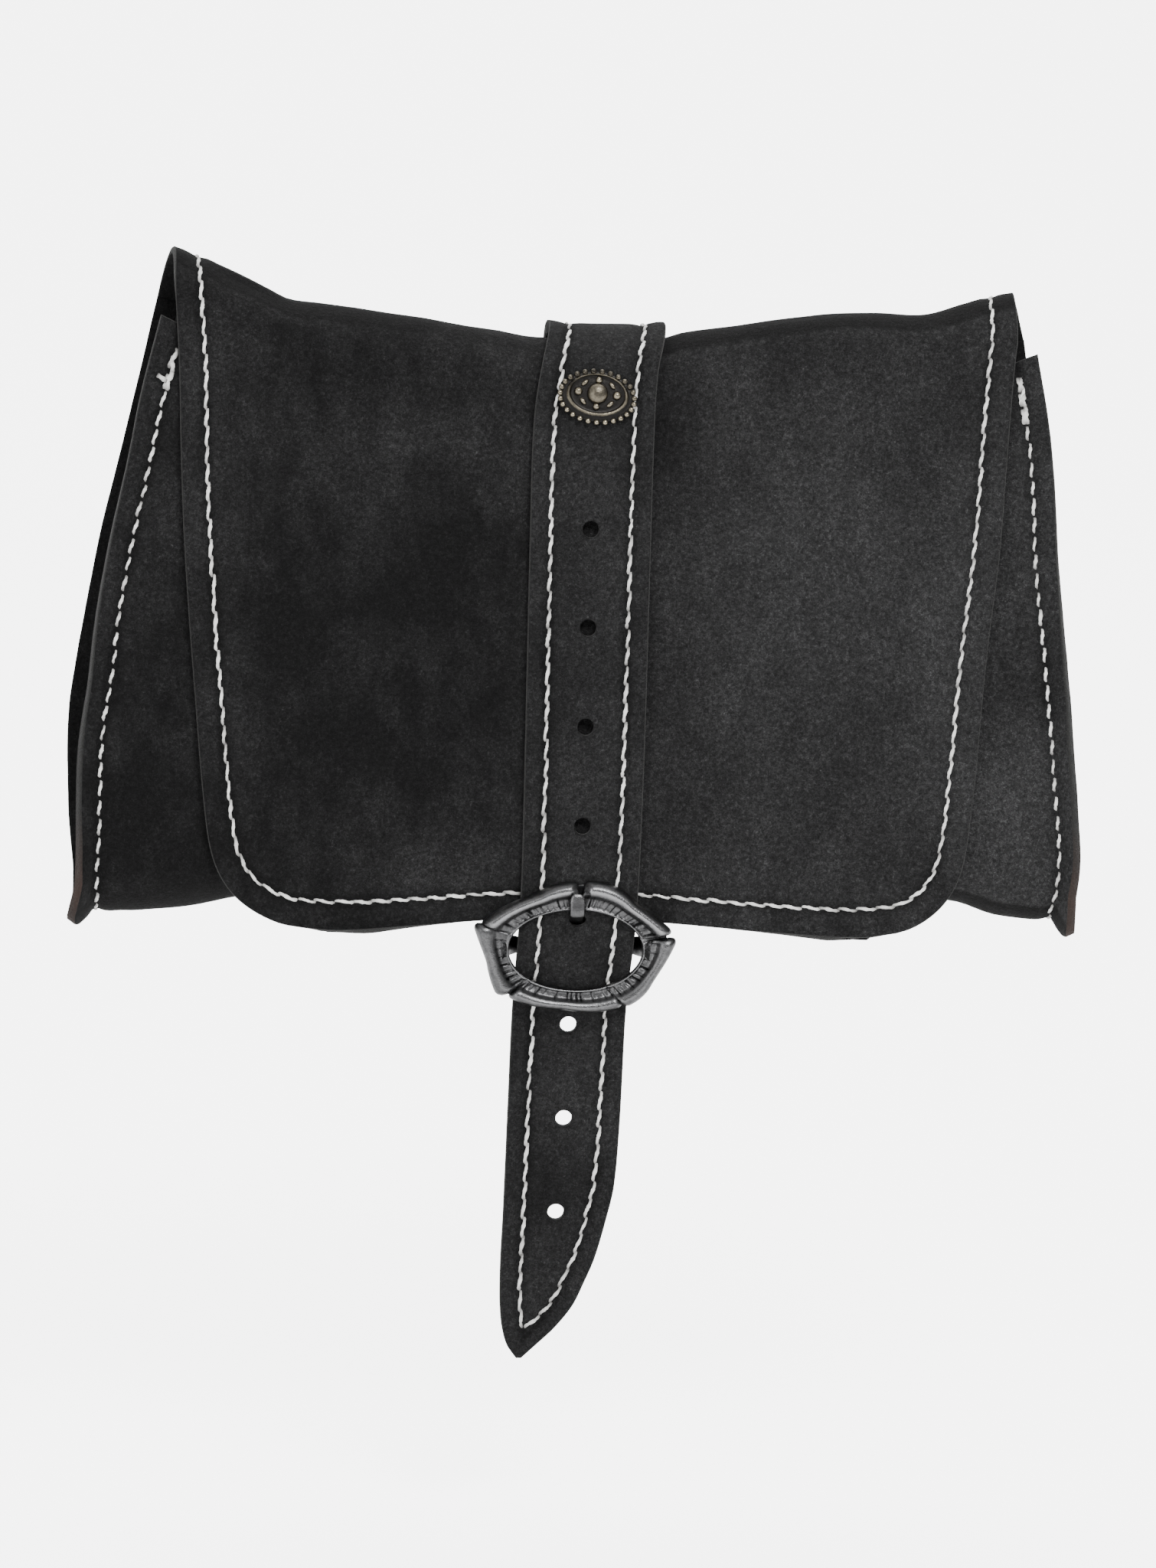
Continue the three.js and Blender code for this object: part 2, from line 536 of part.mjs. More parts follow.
// One side wall. Its raw edges lie on the inner face of the body's raw edges, down the front,
// along the bottom and up the back, and its web is stretched between the three stitch lines.
function gussetRows(side) {
  const seamFace = offset(wrap, LEATHER + GAP).slice(0, backTopRow + 1);
  const columnCount = seamFace[0].length;
  const [edgeColumn, stitchColumn] = side < 0 ? [0, 1] : [columnCount - 1, columnCount - 2];
  const edge = seamFace.map((row) => row[edgeColumn]);
  const stitch = seamFace.map((row) => row[stitchColumn]);
  const down = LEVELS.length - 1;
  const across = BOTTOM_ROWS.length + 1;
  const back = (i) => stitch[backTopRow - i];
  const web = (i, j) => {
    const [s, t] = [i / down, j / across];
    const top = stitch[0].clone().lerp(back(0), t);
    const low = stitch[down].clone().lerp(back(down), t);
    const upright = top.lerp(stitch[down + j], s).sub(top.clone().lerp(low, s));
    const middle = Math.sin(Math.PI * t);
    const point = stitch[i].clone().lerp(back(i), t);
    point.addScaledVector(upright, s);
    const tuck = GUSSET_TUCK * Math.max(0, 1 - 1.6 * s) * middle ** 2;
    const belly = GUSSET_BELLY * Math.sin(Math.PI * s) ** 2 * middle;
    point.x += side * (belly - tuck);
    point.z -= (tuck * (1 - s)) / 2;
    return point;
  };
  const rows = [];
  for (let i = 0; i <= down; i++) {
    const row = [i < down ? edge[i] : edge[down - 1].clone().lerp(edge[down], 0.5)];
    for (let j = 0; j <= across; j++) {
      if (j === 0) row.push(stitch[i]);
      else if (j === across) row.push(back(i));
      else row.push(i === down ? stitch[down + j] : web(i, j));
    }
    const backEdge = edge[backTopRow - i];
    row.push(i < down ? backEdge : backEdge.clone().lerp(edge[backTopRow - i + 1], 0.5));
    rows.push(row);
  }
  const hem = [edge[down]];
  for (let j = 0; j <= across; j++) {
    const point = edge[down + j].clone();
    if (j === 0) point.lerp(edge[down + 1], 0.5);
    if (j === across) point.lerp(edge[down + across - 1], 0.5);
    hem.push(point);
  }
  hem.push(edge[down + across]);
  return rows.concat([hem]);
}

function gusset(side) {
  const face = gussetRows(side);
  return sheetBetween(face, offset(face, -side * GUSSET_LEATHER));
}

// Middle of the strap's thickness at a height, where it lies on the flap or hangs below it
function strapY(z) {
  const onFlap = flapY(Math.max(z, 0)) - GAP - STRAP_LEATHER / 2;
  return onFlap + DEPTH * read(TAIL_PROFILE, "at", "back", Math.min(z, 0) / TAIL_LENGTH);
}

const strapPlace = (z) => (z > 0 ? z / HEIGHT : z / TAIL_LENGTH);

function strapStation(y, z) {
  const left = STRAP_WIDTH * read(STRAP_FRONT, "at", "left", strapPlace(z));
  const right = STRAP_WIDTH * read(STRAP_FRONT, "at", "right", strapPlace(z));
  return { y, z, left, right };
}

// Where something passes through the strap: on its middle line, at a height
function strapMiddle(z) {
  const { left, right } = strapStation(0, z);
  return new THREE.Vector3((left + right) / 2, strapY(z), z);
}

// The strap's path: sewn low on the back, out into the belt loop, over the fold, down the flap,
// through the buckle and on to its point. On the back it keeps the width it has at the top.
function strapStations() {
  const half = STRAP_LEATHER / 2;
  const stations = [];
  const behind = (y, z) => stations.push({ ...strapStation(y, HEIGHT), y, z });
  const sewn = GAP + half;
  const clear = BELT_GAP + half;
  for (const share of [0, 0.5, 1]) behind(sewn, LOOP_FOOT - LOOP_ANCHOR * (1 - share));
  for (const share of [0.25, 0.5, 0.75, 1]) {
    const ease = share * share * (3 - 2 * share);
    behind(mix(sewn, clear, ease), LOOP_FOOT + LOOP_SPREAD * share);
  }
  const shoulder = backTop - BELT_GAP;
  behind(clear, mix(LOOP_FOOT + LOOP_SPREAD, shoulder, 0.5));
  const rise = HEIGHT + STRAP_RISE + half - shoulder;
  for (const angle of [0, 18, 36, 54, 72]) {
    const turn = degrees(angle);
    const y = foldCentre.y + (clear - foldCentre.y) * Math.cos(turn);
    behind(y, shoulder + rise * Math.sin(turn));
  }
  for (const angle of [90, 108, 126, 144, 162]) {
    const turn = degrees(angle);
    const rest = mix(STRAP_RISE, GAP, (angle - 90) / 90);
    const radius = FOLD_RADIUS + rest + half;
    const z = foldCentre.z + radius * Math.sin(turn);
    stations.push(strapStation(foldCentre.y + radius * Math.cos(turn), z));
  }
  stations.push(strapStation(-2 * FOLD_RADIUS - GAP - half, foldCentre.z));
  const heights = FLAP_EDGE.map((row) => row.at).filter((at) => at < 1 && at > 0.03);
  for (const at of heights) stations.push(strapStation(strapY(at * backTop), at * backTop));
  for (const at of TAIL_ROWS) stations.push(strapStation(strapY(at * TAIL_LENGTH), at * TAIL_LENGTH));
  return stations;
}

// The oval ornament, in its own frame: its plate on z = 0, facing +Z.
function conchoCasting(postLength) {
  const [width, height] = [CONCHO_WIDTH / 2 - BEAD_SIZE / 2, CONCHO_HEIGHT / 2 - BEAD_SIZE / 2];
  const outline = CONCHO_SECTION.map((s) => new THREE.Vector2(s.out, s.high * CONCHO_THICK));
  const profile = [
    new THREE.Vector2(0, 0),
    new THREE.Vector2(1, 0),
    ...outline.reverse(),
    new THREE.Vector2(0, outline[outline.length - 1].y),
  ];
  const plate = new THREE.LatheGeometry(profile, CONCHO_SIDES).rotateX(Math.PI / 2);
  let solid = solidOf(facingOut(plate.scale(width, height, 1)));
  const stud = (x, y, size, high) => {
    const ball = new THREE.SphereGeometry(size / 2, 6, 4).rotateX(Math.PI / 2);
    solid = solid.add(solidOf(ball.translate(x, y, high)));
  };
  for (let k = 0; k < BEAD_COUNT; k++) {
    const turn = (2 * Math.PI * k) / BEAD_COUNT;
    stud(width * Math.cos(turn), height * Math.sin(turn), BEAD_SIZE, BEAD_SIZE / 2);
  }
  for (let k = 0; k < PELLET_COUNT; k++) {
    const turn = (2 * Math.PI * k) / PELLET_COUNT;
    const [x, y] = [PELLET_RING * width * Math.cos(turn), PELLET_RING * height * Math.sin(turn)];
    stud(x, y, PELLET_SIZE, PELLET_SIZE / 2);
  }
  const dome = new THREE.SphereGeometry(CONCHO_DOME / 2, 12, 6).rotateX(Math.PI / 2);
  const flatten = (2 * CONCHO_THICK) / CONCHO_DOME;
  solid = solid.add(solidOf(dome.scale(1, 1, flatten).translate(0, 0, CONCHO_THICK)));
  const [root, end] = [CONCHO_THICK / 2, -postLength];
  const post = rod(new THREE.Vector3(0, 0, root), new THREE.Vector3(0, 0, end), POST_SIZE);
  const discBack = new THREE.Vector3(0, 0, end - BACK_DISC_THICK);
  const disc = rod(new THREE.Vector3(0, 0, end), discBack, BACK_DISC, 16);
  return geometryOf(solid.add(solidOf(post)).add(solidOf(disc)));
}

// Radius of the buckle's edge at an angle: horns at the ends of each arm, a waist between them
function frameEdge(angle) {
  const arms = FRAME_ARMS.map((arm) => ({ ...arm, turn: (angle - arm.from + 720) % 360 }));
  const arm = arms.reduce((best, next) => (next.turn < best.turn ? next : best));
  const place = arm.from + arm.turn;
  if (place > arm.to) {
    const next = FRAME_ARMS[(FRAME_ARMS.findIndex((a) => a.from === arm.from) + 1) % FRAME_ARMS.length];
    const gap = (next.from - arm.to + 720) % 360;
    return FRAME_RADIUS * mix(arm.end, next.start, (place - arm.to) / gap);
  }
  const towards = place < arm.waist ? arm.from : arm.to;
  const horn = place < arm.waist ? arm.start : arm.end;
  const share = Math.abs(place - arm.waist) / Math.abs(towards - arm.waist);
  return FRAME_RADIUS * mix(arm.narrow, horn, share ** 1.7);
}

function openingEdge(angle) {
  const [a, b] = [OPENING_WIDTH / 2, OPENING_HEIGHT / 2];
  return (a * b) / Math.hypot(b * Math.cos(degrees(angle)), a * Math.sin(degrees(angle)));
}

// The cast frame without its bar, centred on the origin, its back on y = 0, facing -Y
function frameRing() {
  const angles = FRAME_ARMS.flatMap((arm) =>
    Array.from({ length: ARM_STEPS + 1 }, (_, k) => mix(arm.from, arm.to, k / ARM_STEPS)),
  );
  for (const side of [-1, -0.5, 0.5, 1]) angles.push(NOTCH_ANGLE + side * NOTCH_SPREAD);
  angles.sort((a, b) => a - b);
  const section = [
    ...FRAME_SECTION,
    { across: 0.94, high: 0 },
    { across: 0.06, high: 0 },
  ];
  const points = [];
  for (const angle of angles) {
    const low = 1 - NOTCH_DEPTH * Math.exp(-(((angle - NOTCH_ANGLE) / NOTCH_SPREAD) ** 4));
    for (const { across, high } of section) {
      const radius = mix(openingEdge(angle), frameEdge(angle), across);
      const [x, z] = [radius * Math.cos(degrees(angle)), radius * Math.sin(degrees(angle))];
      points.push(new THREE.Vector3(x, -FRAME_THICK * high * low, z));
    }
  }
  const triangles = [];
  const at = (k, i) => (k % angles.length) * section.length + (i % section.length);
  for (let k = 0; k < angles.length; k++)
    for (let i = 0; i < section.length; i++) {
      triangles.push(at(k, i), at(k + 1, i), at(k + 1, i + 1));
      triangles.push(at(k, i), at(k + 1, i + 1), at(k, i + 1));
    }
  return geometryFrom(points, triangles);
}

const cut = (geometry, punches) =>
  geometryOf(punches.reduce((solid, punch) => solid.subtract(solidOf(punch)), solidOf(geometry)));

// Where the concho sits: on the strap just under the fold, leaning back with the leather
const underFold = strapMiddle(FLAP_EDGE[1].at * backTop);
const atFold = strapMiddle(backTop).setY(-2 * FOLD_RADIUS - GAP - STRAP_LEATHER / 2);
const conchoPlace = (HEIGHT - CONCHO_DROP - underFold.z) / (atFold.z - underFold.z);
const conchoSeat = underFold.clone().lerp(atFold, conchoPlace);
const conchoLean = Math.atan2(atFold.y - underFold.y, atFold.z - underFold.z);
const conchoFace = new THREE.Vector3(0, -Math.cos(conchoLean), Math.sin(conchoLean));
const conchoBase = conchoSeat.clone().addScaledVector(conchoFace, STRAP_LEATHER / 2 + 2 * GAP);
const postLength = STRAP_LEATHER + LEATHER + STRAP_RISE + 4 * GAP;
const postHole = rod(
  conchoBase.clone().addScaledVector(conchoFace, FOLD_RADIUS / 2),
  conchoBase.clone().addScaledVector(conchoFace, -postLength - FOLD_RADIUS / 3),
  POST_SIZE + 2 * GAP,
);

// Buckle: the frame's back lies on the strap where it passes behind the top of the frame
const buckle = strapMiddle(-BUCKLE_DROP);
const frameBack = strapY(0) - STRAP_LEATHER / 2 - GAP;
const bar = new THREE.Vector3(
  buckle.x,
  buckle.y + STRAP_LEATHER / 2 + GAP + HOLDER_LEATHER + BAR_CLEAR + BAR_SIZE / 2,
  -BUCKLE_DROP,
);

function buckleFrame() {
  const ring = frameRing().translate(buckle.x, frameBack, -BUCKLE_DROP);
  const half = OPENING_WIDTH / 2;
  const route = (share, y) => new THREE.Vector3(bar.x + share * half, y, bar.z);
  const inFrame = frameBack - FRAME_THICK / 3;
  const points = [
    route(-1.09, inFrame),
    route(-1.03, frameBack + BAR_SIZE),
    route(-0.86, bar.y),
    route(-0.5, bar.y),
    route(0, bar.y),
    route(0.5, bar.y),
    route(0.86, bar.y),
    route(1.03, frameBack + BAR_SIZE),
    route(1.09, inFrame),
  ];
  const section = new THREE.Shape().absarc(0, 0, BAR_SIZE / 2, 0, 2 * Math.PI);
  const rodAlong = new THREE.ExtrudeGeometry(section, {
    steps: 28,
    curveSegments: 5,
    bevelEnabled: false,
    extrudePath: new THREE.CatmullRomCurve3(points, false, "centripetal"),
  });
  return geometryOf(solidOf(ring).add(solidOf(rodAlong)));
}

// Points round the bar, from one angle to another, at a radius, as seen from the side
function roundBar(radius, from, to, steps) {
  return Array.from({ length: steps + 1 }, (_, k) => {
    const turn = degrees(mix(from, to, k / steps));
    return { y: bar.y + radius * Math.cos(turn), z: bar.z + radius * Math.sin(turn) };
  });
}

const widen = (path, width) =>
  path.map((p) => ({ ...p, left: bar.x - width / 2, right: bar.x + width / 2 }));

function buckleStrap() {
  const half = HOLDER_LEATHER / 2;
  const radius = BAR_SIZE / 2 + BAR_CLEAR + half;
  const leave = CORNER_RADIUS - DEPTH;
  const ply = (share, layer) => {
    const y = leave + HOLDER_ANCHOR * share;
    return { y, z: bottomZ(y) - GAP - half - layer * (HOLDER_LEATHER + GAP) };
  };
  const between = (from, to, share) => ({ y: mix(from.y, to.y, share), z: mix(from.z, to.z, share) });
  const round = roundBar(radius, 70, 300, 8);
  const path = [
    ...[1, 0.66, 0.33, 0].map((share) => ply(share, 0)),
    between(ply(0, 0), round[0], 0.5),
    ...round,
    between(round[round.length - 1], ply(0, 1), 0.5),
    ...[0, 0.33].map((share) => ply(share, 1)),
  ];
  const slot = new THREE.BoxGeometry(TONGUE_WIDTH + 4 * GAP, 3 * radius, 4 * radius);
  slot.translate(bar.x, bar.y, bar.z);
  return cut(strip(widen(path, HOLDER_WIDTH), HOLDER_LEATHER, 4), [slot]);
}

const tongueRest = frameBack - FRAME_THICK * (1 - NOTCH_DEPTH) - 4 * GAP - TONGUE_THICK / 2;

function buckleTongue() {
  const radius = BAR_SIZE / 2 + BAR_CLEAR + TONGUE_THICK / 2;
  const top = OPENING_HEIGHT / 2;
  const path = [
    ...roundBar(radius, -230, 60, 10),
    { y: buckle.y, z: TONGUE_HOLE },
    { y: mix(buckle.y, tongueRest, 0.6), z: TONGUE_HOLE + TONGUE_THICK },
    { y: tongueRest, z: bar.z + top + TONGUE_THICK / 2 },
    { y: tongueRest, z: bar.z + mix(top, FRAME_RADIUS * FRAME_ARMS[0].end, 0.5) },
    { y: tongueRest + TONGUE_THICK / 4, z: bar.z + FRAME_RADIUS * FRAME_ARMS[0].end },
  ];
  return strip(widen(path, TONGUE_WIDTH), TONGUE_THICK, 2);
}

function strapHoles() {
  const punches = [postHole];
  const through = new THREE.Vector3(0, 3 * STRAP_LEATHER, 0);
  for (let k = -HOLES_BELOW; k <= HOLES_ABOVE; k++) {
    if (k === 0) continue;
    const drop = k < 0 ? TAIL_HOLE_DROP : 0;
    const middle = strapMiddle(TONGUE_HOLE + k * HOLE_PITCH - drop);
    const [from, to] = [middle.clone().sub(through), middle.clone().add(through)];
    punches.push(rod(from, to, HOLE_SIZE, 10));
  }
  const slot = new THREE.BoxGeometry(TONGUE_WIDTH + 2 * GAP, 3 * STRAP_LEATHER, TONGUE_SLOT);
  punches.push(slot.translate(buckle.x, buckle.y, TONGUE_HOLE));
  return punches;
}

const suede = new THREE.MeshStandardMaterial({ color: 0x2b2b2c, roughness: 0.97, metalness: 0 });
const metal = new THREE.MeshStandardMaterial({ color: 0x5a5a5c, roughness: 0.42, metalness: 0.9 });

function piece(name, geometry, material) {
  const mesh = new THREE.Mesh(geometry, material);
  mesh.name = name;
  return mesh;
}

const pouch = new THREE.Group();
pouch.add(
  piece("body_flap", cut(sheetBetween(wrap, inner), [postHole]), suede),
  piece("gusset_left", gusset(-1), suede),
  piece("gusset_right", gusset(1), suede),
  piece("flap_strap", cut(strip(strapStations(), STRAP_LEATHER, 6), strapHoles()), suede),
  piece("buckle_strap", buckleStrap(), suede),
  piece("buckle_frame", buckleFrame(), metal),
  piece("buckle_tongue", buckleTongue(), metal),
);

const concho = piece("concho", conchoCasting(postLength), metal);
concho.position.copy(conchoBase);
concho.quaternion.setFromUnitVectors(new THREE.Vector3(0, 0, 1), conchoFace);
pouch.add(concho);

// The origin is the middle of the belt loop, under the top of the strap.
const { left: loopLeft, right: loopRight } = strapStation(0, HEIGHT);
pouch.position.set(-(loopLeft + loopRight) / 2, -BELT_GAP / 2, -(backTop - BELT_GAP));

export default pouch;
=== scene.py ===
# %% [markdown]
# # A black suede belt pouch
#
# The pouch is one long piece of suede that runs up the front, under the bottom, up the back and
# over the top as a flap. Two side walls are sewn in with their raw edges out, a long strap closes
# the flap through a cast buckle, and an oval stud sits on the strap. Every size below is in
# millimetres, in the maker's own layout: the back stands on y = 0 and the bottom on z = 0.

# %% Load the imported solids
import json
import math

import bmesh
import bpy
import numpy as np
from mathutils import Matrix, Vector, noise
from mathutils.bvhtree import BVHTree

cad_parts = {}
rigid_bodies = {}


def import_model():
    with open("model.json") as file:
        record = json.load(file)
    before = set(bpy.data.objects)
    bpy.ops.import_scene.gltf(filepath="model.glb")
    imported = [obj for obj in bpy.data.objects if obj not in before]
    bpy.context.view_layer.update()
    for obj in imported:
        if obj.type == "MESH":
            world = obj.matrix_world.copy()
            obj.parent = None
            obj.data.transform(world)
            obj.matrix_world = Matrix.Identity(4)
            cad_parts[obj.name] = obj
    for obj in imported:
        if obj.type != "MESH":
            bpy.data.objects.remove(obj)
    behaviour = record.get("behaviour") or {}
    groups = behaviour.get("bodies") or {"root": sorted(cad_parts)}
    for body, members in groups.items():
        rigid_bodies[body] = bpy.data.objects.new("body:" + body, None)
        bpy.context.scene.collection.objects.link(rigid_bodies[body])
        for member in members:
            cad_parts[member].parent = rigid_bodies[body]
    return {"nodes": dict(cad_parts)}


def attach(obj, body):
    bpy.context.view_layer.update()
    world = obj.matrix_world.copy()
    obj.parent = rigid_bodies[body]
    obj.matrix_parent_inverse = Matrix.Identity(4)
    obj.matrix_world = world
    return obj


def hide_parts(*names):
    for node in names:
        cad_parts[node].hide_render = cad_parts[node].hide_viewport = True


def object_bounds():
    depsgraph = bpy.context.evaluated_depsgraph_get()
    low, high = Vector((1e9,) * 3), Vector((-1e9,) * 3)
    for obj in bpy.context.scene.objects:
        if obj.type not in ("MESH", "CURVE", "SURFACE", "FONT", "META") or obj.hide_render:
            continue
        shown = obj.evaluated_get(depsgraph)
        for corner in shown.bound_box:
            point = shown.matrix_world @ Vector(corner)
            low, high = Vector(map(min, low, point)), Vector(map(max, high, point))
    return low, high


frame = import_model()
solid_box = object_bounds()
print("solids:", sorted(frame["nodes"]))

# %% [markdown]
# ## Reading a pattern table
#
# A pattern maker writes a few widths at a few heights and draws a fair curve through them. The
# same is done here: a table holds one list per column, and `curve` draws the smooth line through
# one column. It works on single numbers and on whole arrays, so a surface can be made at any
# fineness from the same short tables.

# %% A fair curve through a table
MM = 0.001


def curve(table, column, at):
    keys = np.array(table["at"], float)
    values = np.array(table.get(column, np.zeros(len(keys))), float)
    if keys[0] > keys[-1]:
        keys, values = keys[::-1], values[::-1]
    slopes = np.gradient(values, keys)
    slopes[1:-1] = (values[2:] - values[:-2]) / (keys[2:] - keys[:-2])
    place = np.clip(at, keys[0], keys[-1])
    k = np.clip(np.searchsorted(keys, place, side="right") - 1, 0, len(keys) - 2)
    span = keys[k + 1] - keys[k]
    t = (place - keys[k]) / span
    ends = (2 * t**3 - 3 * t**2 + 1) * values[k] + (3 * t**2 - 2 * t**3) * values[k + 1]
    bends = (t**3 - 2 * t**2 + t) * slopes[k] + (t**3 - t**2) * slopes[k + 1]
    return ends + bends * span


def mix(a, b, share):
    return a + (b - a) * share


# %% [markdown]
# ## The leather pattern
#
# These are the driving sizes of the body. The front leans back as it rises, so the pouch is deep
# at the bottom and thin at its mouth. The two top corners stand up as ears, because the stiff
# sewn edges hold the fold up there while the middle sinks under the strap.
# The shape could be sculpted by hand, but tables keep every width readable and easy to change.

# %% Sizes of the body
HALF_WIDTH = 122.0
HEIGHT = 144.0
DEPTH = 52.0
FRONT_HEIGHT = HEIGHT - 24.0
EAR_LEFT = 21.0
EAR_RIGHT = 13.5
FOLD_RADIUS = 12.5
CORNER_RADIUS = 12.0
LEATHER = 1.9
GUSSET_LEATHER = 1.6
SEAM_MARGIN = 5.4
FLAP_MARGIN = 6.5
CORNER_TIP = 9.0
FLAP_CLEAR = 1.1
FLAP_FLARE = 3.0
BOTTOM_ARCH = 5.0
GUSSET_TUCK = 9.0
GUSSET_BELLY = 3.5
GAP = 0.3
BACK_TOP = HEIGHT - FOLD_RADIUS
CORNER_INSET = CORNER_RADIUS * (1 - math.sqrt(0.5))

FRONT_PROFILE = {
    "at": [1.1, 1.0, 0.83, 0.62, 0.42, 0.25, 0.12, 0.0],
    "depth": [0.42, 0.462, 0.58, 0.71, 0.83, 0.925, 0.985, 1.0],
}
FRONT_SEAM = {
    "at": [1, 0.9, 0.8, 0.68, 0.56, 0.44, 0.33, 0.23, 0.14, 0.07, 0],
    "left": [0.822, 0.86, 0.887, 0.92, 0.945, 0.96, 0.977, 0.98, 0.98, 0.982, 0.984],
    "right": [0.907, 0.931, 0.943, 0.949, 0.961, 0.974, 0.982, 0.99, 0.996, 0.994, 0.986],
    "ear_left": [1.36, 1.02, 0.75, 0.5, 0.3, 0.15, 0.06, 0, 0, 0, 0],
    "ear_right": [1.68, 1.22, 0.85, 0.55, 0.32, 0.15, 0.06, 0, 0, 0, 0],
    "turn_left": [0, 3, 7, 14, 22, 28, 36, 40, 44, 50, 56],
    "turn_right": [6, 12, 16, 24, 34, 44, 52, 58, 64, 70, 78],
    "arch": [0, 0, 0, 0, 0, 0, 0, 0.15, 0.5, 0.8, 1],
}
BOTTOM_SEAM = {
    "at": [0, 0.2, 0.5, 0.8, 1],
    "left": [0.984, 0.988, 0.992, 0.996, 0.998],
    "right": [0.986, 0.989, 0.993, 0.996, 0.998],
    "turn_left": [56, 40, 28, 18, 12],
    "turn_right": [78, 50, 30, 18, 12],
    "arch": [1, 1, 0.6, 0.3, 0.15],
}
BACK_SEAM = {
    "at": [0, 0.07, 0.14, 0.33, 0.44, 0.56, 0.68, 0.8, 0.9, 1],
    "left": [0.998, 1.006, 1.013, 1.014, 0.997, 0.972, 0.94, 0.901, 0.867, 0.834],
    "right": [0.998, 1.003, 1.006, 1.003, 0.993, 0.98, 0.962, 0.943, 0.926, 0.907],
    "ear_left": [0, 0, 0, 0, 0, 0.12, 0.3, 0.5, 0.75, 0.98],
    "ear_right": [0, 0, 0, 0, 0, 0.12, 0.3, 0.5, 0.75, 1.0],
    "turn_left": [12, 6, 2, 0, 0, 0, 0, 0, 0, 0],
    "turn_right": [12, 6, 2, 0, 0, 0, 0, 0, 0, 0],
    "arch": [0.15, 0, 0, 0, 0, 0, 0, 0, 0, 0],
}
FOLD_EDGE = {
    "at": [0.0, 0.5, 1.0],
    "left": [0.834, 0.797, 0.784],
    "right": [0.907, 0.862, 0.855],
    "ear_left": [0.98, 1.0, 1.0],
    "ear_right": [1.0, 1.0, 1.0],
}
FLAP_EDGE = {
    "at": [1, 0.9, 0.78, 0.65, 0.52, 0.4, 0.29, 0.2, 0.14, 0.095, 0.062, 0.037, 0.017, 0.005, 0],
    "left": [
        0.784, 0.775, 0.77, 0.762, 0.749, 0.735, 0.723, 0.712, 0.703, 0.686, 0.661, 0.626, 0.582,
        0.54, 0.47,
    ],
    "right": [
        0.855, 0.843, 0.83, 0.816, 0.794, 0.778, 0.766, 0.753, 0.744, 0.732, 0.708, 0.68, 0.642,
        0.602, 0.55,
    ],
    "ear_left": [1, 0.85, 0.65, 0.45, 0.25, 0.1, 0, 0, 0, 0, 0, 0, 0, 0, 0],
    "ear_right": [1, 0.85, 0.65, 0.45, 0.25, 0.1, 0, 0, 0, 0, 0, 0, 0, 0, 0],
    "hem": [0, 0, 0, 0, 0, 0.02, 0.06, 0.14, 0.25, 0.4, 0.58, 0.76, 0.9, 0.97, 1],
}
EAR_LINE = {
    "at": [
        -1.07, -1, -0.91, -0.81, -0.757, -0.67, -0.52, -0.39, -0.22, -0.1, 0.19, 0.25, 0.4, 0.585,
        0.717, 0.84, 0.94, 1, 1.07,
    ],
    "rise": [
        1, 0.91, 0.74, 0.52, 0.405, 0.365, 0.285, 0.19, 0.065, 0, 0, 0.13, 0.29, 0.51, 0.59,
        0.565, 0.79, 0.9, 1,
    ],
}
ARCH_LINE = {
    "at": [-0.92, -0.82, -0.71, -0.6, 0.68, 0.8, 0.88, 0.95],
    "rise": [0, 0.25, 0.8, 1, 1, 0.8, 0.25, 0],
}
FLAP_HEM = {
    "at": [-1.0, -0.6, -0.3, 0.0, 0.3, 0.65, 1.0],
    "drop": [0.26, 0.03, -0.17, -0.23, -0.08, 0.2, 0.36],
}

# %% [markdown]
# ## Side view of the leather
#
# Before a surface is drawn, its path is walked in the side view, one station at a time. Each
# station knows its place, which way is out, and what the seam does there. The bottom corners and
# the top fold are true arcs, so the light rolls over them.

# %% Stations along the leather
SEAM_COLUMNS = ("left", "right", "ear_left", "ear_right", "turn_left", "turn_right", "arch", "hem")
TOP_ROW = 0.9 * BACK_TOP


def front_y(z):
    return -DEPTH * curve(FRONT_PROFILE, "depth", z / FRONT_HEIGHT)


def flap_y(z):
    """Outer face of the flap, easing into the fold over its top rows."""
    lower = front_y(np.minimum(z, TOP_ROW)) - FLAP_CLEAR - LEATHER
    t = np.clip((z - TOP_ROW) / (BACK_TOP - TOP_ROW), 0, 1)
    start = front_y(TOP_ROW) - FLAP_CLEAR - LEATHER
    slope = (front_y(TOP_ROW) - front_y(TOP_ROW - 2)) / 2 * (BACK_TOP - TOP_ROW)
    eased = start + slope * t * (1 - t) ** 2 + (-2 * FOLD_RADIUS - start) * t**2 * (3 - 2 * t)
    return np.where(z > TOP_ROW, eased + 1.2 * (-(t**3) + t**2), lower)


stations = []


def add_station(y, z, out, table, at, margin):
    seam = {name: float(curve(table, name, at)) for name in SEAM_COLUMNS}
    stations.append({"y": float(y), "z": float(z), "out": out, "margin": margin, **seam})


def corner_margin(turn):
    """The leather runs out to a tip where the seam turns under the pouch."""
    return mix(CORNER_TIP, SEAM_MARGIN, min(abs(turn - 45) / 30, 1))


